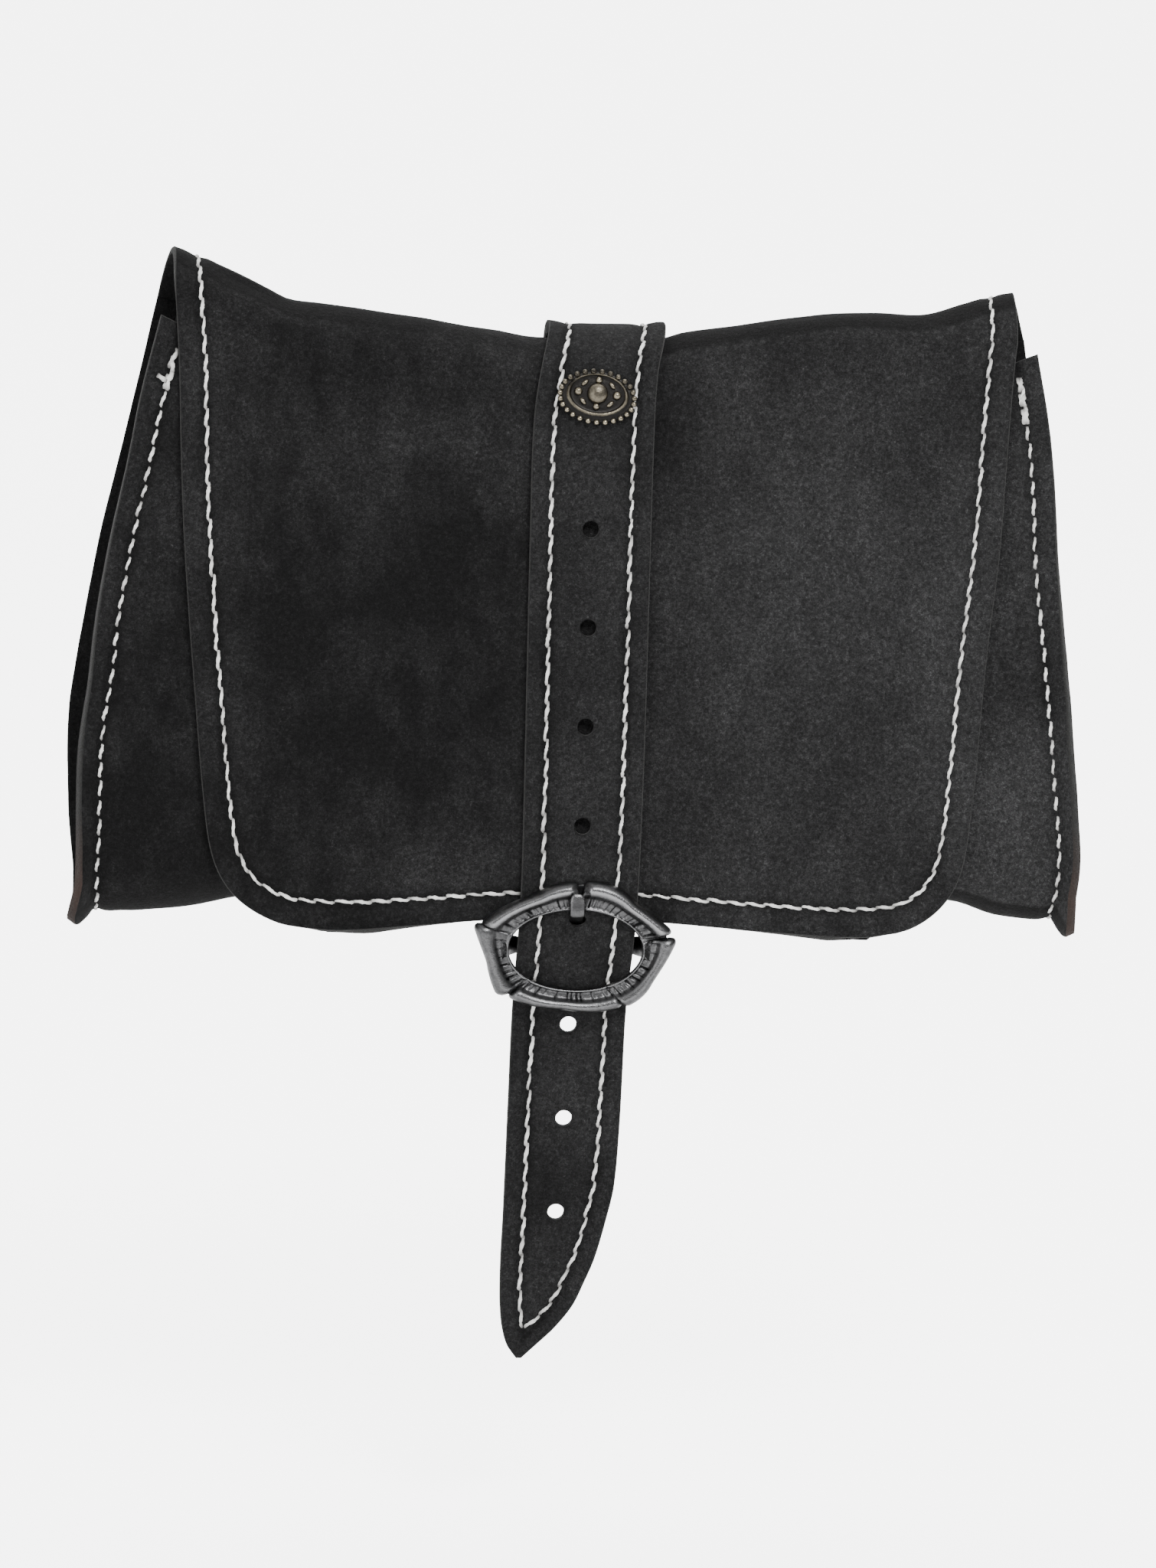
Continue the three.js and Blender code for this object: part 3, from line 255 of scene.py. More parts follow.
for z in np.linspace(FRONT_HEIGHT, CORNER_RADIUS, 62, endpoint=False):
    lean = math.atan((front_y(z + 1) - front_y(z - 1)) / 2)
    level = (z - CORNER_INSET) / (FRONT_HEIGHT - CORNER_INSET)
    add_station(front_y(z), z, (-math.cos(lean), -abs(math.sin(lean))), FRONT_SEAM, level, SEAM_MARGIN)
front_reach = -float(front_y(CORNER_RADIUS)) - (DEPTH - CORNER_RADIUS)
for turn in np.linspace(0, 90, 15, endpoint=False):
    c, s = math.cos(math.radians(turn)), math.sin(math.radians(turn))
    z = CORNER_RADIUS * (1 - s)
    y = CORNER_RADIUS - DEPTH - front_reach * c
    if turn <= 45:
        level = max((z - CORNER_INSET) / (FRONT_HEIGHT - CORNER_INSET), 0)
        add_station(y, z, (-c, -s), FRONT_SEAM, level, corner_margin(turn))
    else:
        add_station(y, z, (-c, -s), BOTTOM_SEAM, 0.2 * (turn - 45) / 45, corner_margin(turn))
    if turn <= 45:
        FRONT_CORNER = len(stations) - 1
for share in np.linspace(0.2, 0.8, 14, endpoint=False):
    y = mix(CORNER_RADIUS - DEPTH, -CORNER_RADIUS, (share - 0.2) / 0.6)
    add_station(y, 0, (0, -1), BOTTOM_SEAM, share, SEAM_MARGIN)
for turn in np.linspace(90, 0, 12, endpoint=False):
    c, s = math.cos(math.radians(turn)), math.sin(math.radians(turn))
    z = CORNER_RADIUS * (1 - s)
    if turn > 45:
        BACK_CORNER = len(stations)
        share = 0.8 + 0.2 * (90 - turn) / 45
        add_station(CORNER_RADIUS * (c - 1), z, (c, -s), BOTTOM_SEAM, share, SEAM_MARGIN)
    else:
        level = max((z - CORNER_INSET) / (BACK_TOP - CORNER_INSET), 0)
        add_station(CORNER_RADIUS * (c - 1), z, (c, -s), BACK_SEAM, level, SEAM_MARGIN)
for z in np.linspace(CORNER_RADIUS, BACK_TOP, 56, endpoint=False):
    level = (z - CORNER_INSET) / (BACK_TOP - CORNER_INSET)
    add_station(0, z, (1, 0), BACK_SEAM, level, SEAM_MARGIN)
BACK_END = len(stations)
for share in np.linspace(0, 1, 22, endpoint=False):
    c, s = math.cos(math.pi * share), math.sin(math.pi * share)
    margin = mix(SEAM_MARGIN, FLAP_MARGIN, share)
    add_station(FOLD_RADIUS * (c - 1), BACK_TOP + FOLD_RADIUS * s, (c, s), FOLD_EDGE, share, margin)
FLAP_START = len(stations)
for at in np.concatenate([np.linspace(1, 0.1, 66, endpoint=False), np.linspace(0.1, 0, 24)]):
    add_station(flap_y(BACK_TOP * at), BACK_TOP * at, (-1, 0), FLAP_EDGE, at, FLAP_MARGIN)
print("stations along the leather:", len(stations))

# %% [markdown]
# ## From stations to a surface
#
# Every station becomes one row of points across the leather. The columns lie close together near
# the stitch line, because the thread pulls a narrow valley there. Beyond the stitch line the raw
# edge bends out of the panel by the angle in the table.

# %% Rows across the leather
near_stitch = 1 - np.array([0.0, 0.006, 0.012, 0.019, 0.028, 0.04])
middle = np.linspace(-0.945, 0.945, 96)
ACROSS = np.concatenate([-near_stitch, middle, near_stitch[::-1]])
EDGE_STEPS = np.array([0.12, 0.24, 0.38, 0.55, 0.75, 1.0])
STITCH_LEFT = len(EDGE_STEPS)
STITCH_RIGHT = STITCH_LEFT + len(ACROSS) - 1
RAW_EDGE = 1.07


def ear_rise(station, share):
    ear = np.where(share < 0, EAR_LEFT * station["ear_left"], EAR_RIGHT * station["ear_right"])
    return ear * curve(EAR_LINE, "rise", share)


def raw_edge(station, side):
    """Points from the stitch line out to the raw edge, bending smoothly into the turn."""
    turn = math.radians(station["turn_left"] if side < 0 else station["turn_right"])
    steps = np.concatenate([[0], EDGE_STEPS])
    angle = turn * np.clip((steps[1:] + steps[:-1]) / 2 / 0.3, 0, 1)
    length = np.diff(steps) * station["margin"]
    out_y, out_z = station["out"]
    along = np.stack([side * np.cos(angle), np.sin(angle) * out_y, np.sin(angle) * out_z], 1)
    reach = np.cumsum(along * length[:, None], axis=0)
    lift = ear_rise(station, side * RAW_EDGE) - ear_rise(station, side * 1.0)
    reach[:, 2] += lift * EDGE_STEPS
    return reach


def leather_row(station):
    half = HALF_WIDTH * np.where(ACROSS < 0, station["left"], station["right"])
    drop = FLAP_MARGIN * station["hem"] * curve(FLAP_HEM, "drop", ACROSS)
    flare = FLAP_FLARE * station["hem"] * ACROSS**4
    hollow = BOTTOM_ARCH * station["arch"] * curve(ARCH_LINE, "rise", ACROSS)
    z = station["z"] + ear_rise(station, ACROSS) + hollow - drop
    panel = np.stack([ACROSS * half, station["y"] - flare, z], 1)
    left = panel[0] + raw_edge(station, -1)
    right = panel[-1] + raw_edge(station, 1)
    return np.concatenate([left[::-1], panel, right])


body = np.array([leather_row(station) for station in stations])
print("grid of the body:", body.shape[:2])

# %% [markdown]
# ## Normals, distances and gentle hills
#
# Four small helpers work on any grid of points: the direction square to the surface, the length
# walked along a line of points, a calm noise that gives soft leather its low hills, and a smooth
# step from 0 to 1 that fades one thing into another.

# %% Helpers for grids of points


def normals_of(grid):
    down = np.gradient(grid, axis=0)
    across = np.gradient(grid, axis=1)
    normal = np.cross(down, across)
    return normal / np.maximum(np.linalg.norm(normal, axis=2, keepdims=True), 1e-9)


def walked(points):
    steps = np.linalg.norm(np.diff(points, axis=0), axis=1)
    return np.concatenate([[0], np.cumsum(steps)])


def hills(grid, size, seed):
    shift = Vector((seed * 17.3, seed * 5.1, seed * 9.7))
    flat = [noise.noise(Vector(p) / size + shift) for p in grid.reshape(-1, 3)]
    return np.array(flat).reshape(grid.shape[:2])


def smooth_step(low, high, value):
    t = np.clip((value - low) / (high - low), 0, 1)
    return t * t * (3 - 2 * t)


# %% [markdown]
# ## Where the thread runs on the flap
#
# The flap is stitched along its own raw edge, one margin in from it. The line is found the way a
# maker does it with a groover: walk along the edge and step inwards by the margin.

# %% The flap's stitch line
flap = body[FLAP_START:]


def ease_outline(grid, spread, reach):
    """Rounds off small kinks along the left, lower and right edges of a grid of points."""
    edge = np.concatenate([grid[:-1, 0], grid[-1], grid[-2::-1, -1]])
    along = walked(edge)
    weight = np.exp(-(((along[:, None] - along[None, :]) / spread) ** 2) / 2)
    weight *= np.gradient(along)[None, :]
    eased = weight @ edge / weight.sum(axis=1, keepdims=True)
    fade = smooth_step(0, 4 * spread, along) * smooth_step(0, 4 * spread, along[-1] - along)
    move = (eased - edge) * fade[:, None]
    for row in grid:
        far = np.linalg.norm(row[:, None] - edge[None], axis=2)
        row += move[far.argmin(axis=1)] * np.exp(-((far.min(axis=1) / reach) ** 2))[:, None]


ease_outline(flap, 4.5, 8.0)


def averaged(points, reach):
    """Each point averaged with its neighbours on both sides."""
    window = np.ones(2 * reach + 1) / (2 * reach + 1)
    columns = [np.convolve(np.pad(c, reach, mode="edge"), window, "valid") for c in points.T]
    return np.stack(columns, 1)


def step_in(outline, margin, toward):
    """A line beside an outline in the front view, on the side where the point toward lies."""
    along = averaged(np.gradient(outline, axis=0), 2)
    along /= np.linalg.norm(along, axis=1, keepdims=True)
    square = np.stack([-along[:, 1], along[:, 0]], 1)
    side = np.sign(np.sum(square * (toward - outline), axis=1, keepdims=True))
    return outline + square * side * margin


left_edge = flap[:, 0][:, [0, 2]]
right_edge = flap[:, -1][:, [0, 2]]
hem_edge = flap[-1][:, [0, 2]]
flap_outline = np.concatenate([left_edge[:-1], hem_edge, right_edge[-2::-1]])
keep = np.concatenate([[True], np.linalg.norm(np.diff(flap_outline, axis=0), axis=1) > 0.05])
flap_outline = flap_outline[keep]
even = np.linspace(0, walked(flap_outline)[-1], 420)
flap_outline = np.stack([np.interp(even, walked(flap_outline), c) for c in flap_outline.T], 1)
flap_stitch_line = step_in(flap_outline, FLAP_MARGIN, np.array([0.0, 75.0]))
print("flap stitching, mm:", round(walked(flap_stitch_line)[-1]))

# %% [markdown]
# ## Dents, folds and the pull of the thread
#
# Suede that has been worn is never flat. A short table names the dents and ridges that show: each
# is a soft line with a place, a length, a width, a direction and a depth. The thread pulls a
# narrow valley along each seam, and low noise hills do the rest. Under the strap the flap stays
# flat, because the strap presses it down.

# %% Shape the body
DENTS = {
    "x": [-84, -60, -88, 40, 62, 96, -30, 30, -70, 70, -102, 108, 0],
    "z": [157, 118, 96, 139, 146, 128, 60, 30, 16, 16, 40, 55, 128],
    "long": [22, 30, 26, 34, 18, 22, 40, 44, 26, 24, 40, 34, 60],
    "wide": [3.0, 9.0, 7.0, 4.5, 5.0, 6.0, 12, 10, 6, 6, 6, 6, 5],
    "turn": [-8, -50, 80, 4, 12, -70, -62, 58, 25, -28, 82, 80, 0],
    "deep": [1.0, 0.7, 0.6, 0.7, -0.5, 0.6, 0.7, 0.6, -0.8, -0.8, 1.2, 1.0, -0.3],
}
STRAP_LINE = {"at": [0.0, 131.0], "x": [0.2, 3.8]}


def dents(grid):
    """Depth of all the named dents at each point, seen from the front."""
    depth = np.zeros(grid.shape[:2])
    for k, deep in enumerate(DENTS["deep"]):
        turn = math.radians(DENTS["turn"][k])
        x, z = grid[..., 0] - DENTS["x"][k], grid[..., 2] - DENTS["z"][k]
        along = (x * math.cos(turn) + z * math.sin(turn)) / DENTS["long"][k]
        across = (-x * math.sin(turn) + z * math.cos(turn)) / DENTS["wide"][k]
        depth += deep * np.exp(-(along**2) * 2 - across**2)
    return depth


def distance_to_line(grid, line):
    spots = grid[..., [0, 2]].reshape(-1, 2)
    nearest = np.full(len(spots), 1e9)
    for point in line:
        nearest = np.minimum(nearest, np.hypot(*(spots - point).T))
    return nearest.reshape(grid.shape[:2])


body_normals = normals_of(body)
seam_distance = np.zeros(body.shape[:2])
for i, row in enumerate(body):
    reach = walked(row)
    seam_distance[i] = np.minimum(abs(reach - reach[STITCH_LEFT]), abs(reach - reach[STITCH_RIGHT]))
seam_distance[FLAP_START:] = distance_to_line(flap, flap_stitch_line)
strap_x = np.interp(body[..., 2], STRAP_LINE["at"], STRAP_LINE["x"])
beside_strap = smooth_step(14, 26, abs(body[..., 0] - strap_x))
calm = beside_strap * smooth_step(0, 5, seam_distance)
calm[FLAP_START:] *= smooth_step(1.5, 8.0, distance_to_line(flap, flap_outline))
on_flap = np.zeros(body.shape[:2])
on_flap[FLAP_START - 8:] = 1
low_hills = 0.9 * hills(body, 34, 1) + 0.45 * hills(body, 13, 2)
relief = calm * (0.9 * low_hills - on_flap * dents(body))
relief[:FLAP_START - 8] *= 0.7
puckers = 0.5 * hills(body, 5.0, 3) * np.exp(-((seam_distance / 3.2) ** 2))
valley = 0.5 * np.exp(-((seam_distance / 1.2) ** 2))
valley[BACK_END:FLAP_START] *= 0.3
edge_lift = 0.3 * np.exp(-(((seam_distance - 3.2) / 1.6) ** 2))
body += body_normals * (relief + 0.6 * puckers)[..., None]
outer_face = body + body_normals * (0.5 * edge_lift - valley)[..., None]
inner_face = body - normals_of(body) * LEATHER
print("relief, mm:", round(float(relief.min()), 2), "to", round(float(relief.max()), 2))

# %% [markdown]
# ## A closed sheet of leather
#
# A real cut edge isn't a knife edge: the blade leaves a square wall with soft corners. The sheet
# is two grids of points and a wall between them, and the wall's corners are set in a little so
# that they catch the light as a thin line. The wall takes a second material, the bare cut edge.
# A Solidify modifier could add the thickness, but it would copy the stitch valleys to the inside.
# The shared origin is in the middle of the belt loop, so `to_metres` moves every point there.

# %% Build a sheet from two faces
STRAP_WIDTH = 30.0
BELT_GAP = 7.0
STRAP_TOP = {"at": [1.02, 0.95, 0.85], "left": [-0.25, -0.34, -0.4], "right": [0.74, 0.65, 0.62]}
strap_edges = [float(curve(STRAP_TOP, side, 1.0)) for side in ("left", "right")]
ORIGIN = np.array([STRAP_WIDTH * sum(strap_edges) / 2, BELT_GAP / 2, BACK_TOP - BELT_GAP])
WALL_STEPS = (0.16, 0.5, 0.84)


def to_metres(points):
    return (np.asarray(points) - ORIGIN) * MM


def new_piece(name, points, faces, face_kinds=None, values=None):
    """A mesh object from points in millimetres, with named values kept at its points."""
    mesh = bpy.data.meshes.new(name)
    mesh.from_pydata(to_metres(points).tolist(), [], faces)
    if face_kinds is not None:
        mesh.polygons.foreach_set("material_index", face_kinds)
    for value_name, numbers in (values or {}).items():
        layer = mesh.attributes.new(value_name, "FLOAT", "POINT")
        layer.data.foreach_set("value", np.asarray(numbers, np.float32).ravel())
    mesh.shade_smooth()
    mesh.validate()
    piece = bpy.data.objects.new(name, mesh)
    bpy.context.scene.collection.objects.link(piece)
    return piece


def rim_of(rows, columns):
    top = [(0, j) for j in range(columns - 1)]
    right = [(i, columns - 1) for i in range(rows - 1)]
    bottom = [(rows - 1, j) for j in range(columns - 1, 0, -1)]
    left = [(i, 0) for i in range(rows - 1, 0, -1)]
    return np.array(top + right + bottom + left)


def leather_sheet(name, outer, inner, values, soft=0.28):
    rows, columns = outer.shape[:2]
    rim = rim_of(rows, columns)
    inside = np.clip(rim, [1, 1], [rows - 2, columns - 2])
    outer, inner = outer.copy(), inner.copy()
    edge_out, edge_in = outer[rim[:, 0], rim[:, 1]].copy(), inner[rim[:, 0], rim[:, 1]].copy()
    toward = outer[inside[:, 0], inside[:, 1]] - edge_out
    toward /= np.maximum(np.linalg.norm(toward, axis=1, keepdims=True), 1e-6)
    outer[rim[:, 0], rim[:, 1]] += toward * soft
    inner[rim[:, 0], rim[:, 1]] += toward * soft
    walls = [mix(edge_out, edge_in, share) for share in WALL_STEPS]
    points = np.concatenate([outer.reshape(-1, 3), inner.reshape(-1, 3), *walls])
    count = rows * columns
    index = np.arange(count).reshape(rows, columns)
    a, b, c, d = index[:-1, :-1], index[:-1, 1:], index[1:, 1:], index[1:, :-1]
    front = np.stack([a, d, c, b], -1).reshape(-1, 4)
    back = np.stack([a, b, c, d], -1).reshape(-1, 4) + count
    loops = [index[rim[:, 0], rim[:, 1]]]
    loops += [2 * count + k * len(rim) + np.arange(len(rim)) for k in range(len(WALL_STEPS))]
    loops.append(index[rim[:, 0], rim[:, 1]] + count)
    wall = [np.stack([p, np.roll(p, -1), np.roll(q, -1), q], 1) for p, q in zip(loops, loops[1:])]
    faces = np.concatenate([front, back, *wall])
    kinds = np.zeros(len(faces), int)
    kinds[len(front) + len(back):] = 1
    at_points = {}
    for value_name, numbers in values.items():
        on_rim = numbers[rim[:, 0], rim[:, 1]]
        on_walls = [on_rim] * len(WALL_STEPS)
        at_points[value_name] = np.concatenate([numbers.ravel(), numbers.ravel(), *on_walls])
    return new_piece(name, points, faces.tolist(), kinds, at_points)


# %% [markdown]
# ## Brushed patches
#
# Suede is a carpet of fibres. Where a hand or the strap has brushed it one way the patch looks
# lighter, and the other way darker. The patches that show are named in a table and kept on the
# mesh as a value that the material reads, so they stay in place in any view. On the body the same
# value also carries painted light and shade: a right side made lighter and a painted shade on the
# back of the fold. An image could hold them too, but values at the points need no unwrapping.

# %% Nap of the body
NAP_PATCHES = {
    "x": [-50, -18, 60, 40, 74, 95, 30, -72, -60, -30, 88, 22, 60, -95, -20, 50, -105, 112, 116, -115, -90,
          96],
    "z": [112, 112, 104, 76, 66, 66, 46, 84, 40, 82, 46, 124, 142, 120, 12, 12, 20, 20, 90, 95, 48, 24],
    "wide": [22, 12, 40, 22, 26, 12, 28, 26, 44, 16, 16, 7, 30, 8, 26, 26, 16, 12, 12, 16, 11, 14],
    "tall": [16, 16, 26, 18, 22, 34, 24, 34, 40, 26, 30, 16, 8, 40, 8, 10, 26, 26, 40, 40, 44, 24],
    "light": [0.4, 0.3, 0.4, 0.25, 0.3, 0.3, 0.1, -0.3, -0.2, -0.4, 0.1, -0.4, -0.2, 0.3, 0.35, 0.2,
              -0.4, 0.1, 0.2, 0.25, 0.35, 0.25],
}


def nap_of(grid, patches):
    lightness = np.zeros(grid.shape[:2])
    for k, light in enumerate(patches["light"]):
        x = (grid[..., 0] - patches["x"][k]) / patches["wide"][k]
        z = (grid[..., 2] - patches["z"][k]) / patches["tall"][k]
        lightness += light * np.exp(-(x**2) - z**2)
    return lightness


# The right side is made lighter than the left: partly the hide's own tone, partly painted light from the
# right.
side_light_and_tone = 0.13 * np.tanh(body[..., 0] / 40)
# Painted shade: a band on the back of the fold, beside the strap, is darkened where the fold turns away from
# the light.
fold_share = np.clip((np.arange(len(body)) - BACK_END) / (FLAP_START - BACK_END), 0, 1)
behind_fold = 1 - smooth_step(0.71, 0.78, fold_share)[:, None]
lighter_left = 0.7 * np.exp(-(((body[..., 0] + 24) / 26) ** 2))
off_strap = smooth_step(12, 15, abs(body[..., 0] - strap_x))
fold_shade = behind_fold * (1 - lighter_left) * off_strap
body_nap_and_shade = 0.6 * nap_of(body, NAP_PATCHES) + side_light_and_tone - 0.5 * fold_shade
# The front panel is made lighter all over, and lighter still low on the right.
front_panel = body[:FRONT_CORNER]
low_right = smooth_step(60, 30, front_panel[..., 2]) * (front_panel[..., 0] > 0)
body_nap_and_shade[:FRONT_CORNER] += 0.5 + 0.25 * low_right
body_piece = leather_sheet(
    "body_leather", outer_face, inner_face, {"nap_and_shade": body_nap_and_shade, "seam": seam_distance}
)
print("body faces:", len(body_piece.data.polygons))

# %% [markdown]
# ## The side walls
#
# A side wall is a narrow panel sewn in raw edge to raw edge. Its seam follows the body down the
# front, along the bottom and up the back. The panel between is stretched from those three lines,
# folds in at the mouth where there is nothing to fill it, and bellies out low down. Both faces of
# a wall have one shape, so here a Solidify and a Bevel modifier make the thickness and its edges.

# %% Shape a side wall
WALL_ROWS = 46
WALL_COLUMNS = 24


def rows_between(grid, places):
    low = np.floor(places).astype(int).clip(0, len(grid) - 2)
    share = (places - low).reshape(-1, *[1] * (grid.ndim - 1))
    return grid[low] * (1 - share) + grid[low + 1] * share


def side_wall(name, side):
    lining = body - normals_of(body) * (LEATHER + GAP)
    span = range(STITCH_LEFT, -1, -1) if side < 0 else range(STITCH_RIGHT, body.shape[1])
    strip = lining[: BACK_END + 1][:, list(span)]
    front = rows_between(strip, np.linspace(0, FRONT_CORNER, WALL_ROWS))
    under = rows_between(strip, np.linspace(FRONT_CORNER, BACK_CORNER, WALL_COLUMNS + 1))
    back = rows_between(strip, np.linspace(BACK_END, BACK_CORNER, WALL_ROWS))
    s = np.linspace(0, 1, WALL_ROWS)[:, None, None]
    t = np.linspace(0, 1, WALL_COLUMNS + 1)[None, :, None]
    top = mix(front[0, 0], back[0, 0], t)
    low = mix(front[-1, 0], back[-1, 0], t)
    web = mix(front[:, :1], back[:, :1], t)
    web = web + s * s * (mix(top, under[None, :, 0], s) - low)
    web[-1] = under[:, 0]
    bulge = np.sin(math.pi * t)
    tuck = GUSSET_TUCK * np.maximum(0, 1 - 1.6 * s) * bulge**2
    belly = GUSSET_BELLY * np.sin(math.pi * s) ** 2 * bulge
    web[..., 0] += side * (belly - tuck)[..., 0]
    web[..., 2] -= (tuck * (1 - s) / 2)[..., 0]
    web[..., 0] += (hills(web, 16, 5 + side) * np.sin(math.pi * s[..., 0]) * bulge[..., 0]) * 1.2
    path = np.concatenate([front[:-1], under[:-1], back[::-1]])
    edge = path.shape[1]
    points = np.concatenate([web.reshape(-1, 3), path.reshape(-1, 3)])
    grids = [np.arange(web.shape[0] * web.shape[1]).reshape(web.shape[:2])]
    grids.append(web.shape[0] * web.shape[1] + np.arange(len(path) * edge).reshape(-1, edge))
    faces = []
    for grid in grids:
        a, b, c, d = grid[:-1, :-1], grid[:-1, 1:], grid[1:, 1:], grid[1:, :-1]
        faces += np.stack([a, b, c, d], -1).reshape(-1, 4).tolist()
    piece = new_piece(name, points, faces)
    shell = bmesh.new()
    shell.from_mesh(piece.data)
    bmesh.ops.remove_doubles(shell, verts=shell.verts, dist=0.02 * MM)
    bmesh.ops.recalc_face_normals(shell, faces=shell.faces)
    inward = sum(f.normal.x * f.calc_area() for f in shell.faces) * side
    if inward > 0:
        bmesh.ops.reverse_faces(shell, faces=shell.faces)
    shell.to_mesh(piece.data)
    shell.free()
    thicken = piece.modifiers.new("leather", "SOLIDIFY")
    thicken.thickness = GUSSET_LEATHER * MM
    thicken.offset = 1.0
    thicken.use_even_offset = False
    thicken.material_offset_rim = 1
    smooth = piece.modifiers.new("smooth", "BEVEL")
    smooth.width = 0.25 * MM
    smooth.segments = 2
    smooth.angle_limit = math.radians(50)
    return piece


def settle(piece):
    """Keeps what the modifiers made as the piece's own mesh."""
    graph = bpy.context.evaluated_depsgraph_get()
    made = bpy.data.meshes.new_from_object(piece.evaluated_get(graph))
    piece.modifiers.clear()
    piece.data = made
    piece.data.shade_smooth()
    return piece


side_left = side_wall("side_left", -1)
side_right = side_wall("side_right", 1)
for piece in (side_left, side_right):
    piece.data.materials.append(None)
    piece.data.materials.append(None)
    settle(piece)
    print(piece.name, "faces:", len(piece.data.polygons))

# %% [markdown]
# ## The long strap
#
# The strap is sewn low on the back, stands off it as a belt loop, runs over the fold and down the
# flap, and hangs below the buckle with a slanted point. It is bent along a side-view path, so its
# length stays true. Two layers sewn along the edges leave the middle a little proud.

# %% Path of the strap
STRAP_LEATHER = 2.4
TAIL_LENGTH = 111.5
STRAP_RISE = 1.0
STRAP_MARGIN = 5.2
LOOP_FOOT, LOOP_ANCHOR, LOOP_SPREAD = 44.0, 30.0, 22.0
STRAP_FRONT = {
    "at": [1.02, 0.95, 0.85, 0.66, 0.32, 0.1, 0.0, -0.18, -0.45, -0.6, -0.67, -0.77, -0.83, -0.88,
           -0.93, -0.97, -1.0],
    "left": [-0.25, -0.34, -0.4, -0.428, -0.46, -0.48, -0.497, -0.536, -0.56, -0.573, -0.58, -0.594,
             -0.597, -0.593, -0.573, -0.53, -0.45],
    "right": [0.74, 0.65, 0.62, 0.588, 0.54, 0.5, 0.476, 0.417, 0.387, 0.353, 0.3, 0.2, 0.107,
              0.017, -0.13, -0.287, -0.41],
}
TAIL_PROFILE = {
    "at": [0.0, -0.05, -0.18, -0.45, -0.7, -1.0],
    "back": [0.0, -0.004, 0.026, 0.056, 0.064, 0.036],
}


def strap_y(z):
    on_flap = flap_y(np.maximum(z, 0)) - GAP - STRAP_LEATHER / 2
    return on_flap + DEPTH * curve(TAIL_PROFILE, "back", np.minimum(z, 0) / TAIL_LENGTH)


def strap_sides(z):
    place = np.where(z > 0, z / HEIGHT, z / TAIL_LENGTH)
    return [STRAP_WIDTH * curve(STRAP_FRONT, side, place) for side in ("left", "right")]


def strap_path():
    half = STRAP_LEATHER / 2
    sewn, clear = GAP + half, BELT_GAP + half
    path = [(sewn, LOOP_FOOT - LOOP_ANCHOR), (sewn, LOOP_FOOT - LOOP_ANCHOR / 2), (sewn, LOOP_FOOT)]
    for share in np.linspace(0.15, 1, 7):
        ease = share * share * (3 - 2 * share)
        path.append((mix(sewn, clear, ease), LOOP_FOOT + LOOP_SPREAD * share))
    shoulder = BACK_TOP - BELT_GAP
    path += [(clear, mix(LOOP_FOOT + LOOP_SPREAD, shoulder, share)) for share in (0.3, 0.6)]
    rise = HEIGHT + STRAP_RISE + half - shoulder
    for angle in range(0, 90, 12):
        turn = math.radians(angle)
        y = -FOLD_RADIUS + (clear + FOLD_RADIUS) * math.cos(turn)
        path.append((y, shoulder + rise * math.sin(turn)))
    for angle in range(90, 180, 15):
        turn = math.radians(angle)
        radius = FOLD_RADIUS + mix(STRAP_RISE, GAP, (angle - 90) / 90) + half
        path.append((radius * math.cos(turn) - FOLD_RADIUS, BACK_TOP + radius * math.sin(turn)))
    path += [(float(strap_y(z)), z) for z in np.linspace(BACK_TOP, -TAIL_LENGTH, 90)]
    return np.array(path)


control = strap_path()
steps = walked(control)
strap_step = np.linspace(0, steps[-1], 300)
knots = {"at": steps, "y": control[:, 0], "z": control[:, 1]}
strap_line = np.stack([curve(knots, "y", strap_step), curve(knots, "z", strap_step)], 1)
top_step = steps[np.argmax(control[:, 1])]
strap_height = np.where(strap_step < top_step, HEIGHT, strap_line[:, 1])
strap_left, strap_right = strap_sides(strap_height)
print("length of the strap, mm:", round(steps[-1]))

# %% [markdown]
# ## Thickness, holes and edges of the strap
#
# The round punch leaves each hole with a slightly sunken lip. The lip is part of the surface, and
# the hole itself is cut right through afterwards with a boolean, so light comes through the holes
# of the hanging tail.

# %% Build the strap
HOLE_SIZE, HOLE_PITCH, TONGUE_HOLE, TAIL_HOLE_DROP = 4.2, 24.2, 0.4, 1.7
TONGUE_PULL = 1.0
TONGUE_SLOT = (2.1, 0.66)
HOLES = [k for k in range(-3, 5) if k != 0]
STRAP_COLUMNS = 26


def hole_height(k):
    return TONGUE_HOLE + k * HOLE_PITCH - (TAIL_HOLE_DROP if k < 0 else 0)


def strap_middle(z):
    left, right = strap_sides(z)
    return np.array([float(left + right) / 2, float(strap_y(z)), z])


across = 0.5 - 0.5 * np.cos(np.linspace(0.0, math.pi, STRAP_COLUMNS))
across = 0.45 * across + 0.55 * np.linspace(0, 1, STRAP_COLUMNS)
strap_x = strap_left[:, None] + (strap_right - strap_left)[:, None] * across[None, :]
strap_side = [np.broadcast_to(strap_line[:, [k]], strap_x.shape) for k in (0, 1)]
strap_mid = np.stack([strap_x, *strap_side], 2)
strap_normals = normals_of(strap_mid)
strap_normals[..., 0] = 0
strap_normals /= np.linalg.norm(strap_normals, axis=2, keepdims=True)
to_edge = np.minimum(strap_x - strap_left[:, None], strap_right[:, None] - strap_x)
strap_seam = abs(to_edge - STRAP_MARGIN)
proud = 0.35 * smooth_step(STRAP_MARGIN, STRAP_MARGIN + 4, to_edge)
proud -= 0.38 * np.exp(-((strap_seam / 1.2) ** 2))
proud += 0.12 * hills(strap_mid, 9, 8) + 0.25 * hills(strap_mid, 30, 9)
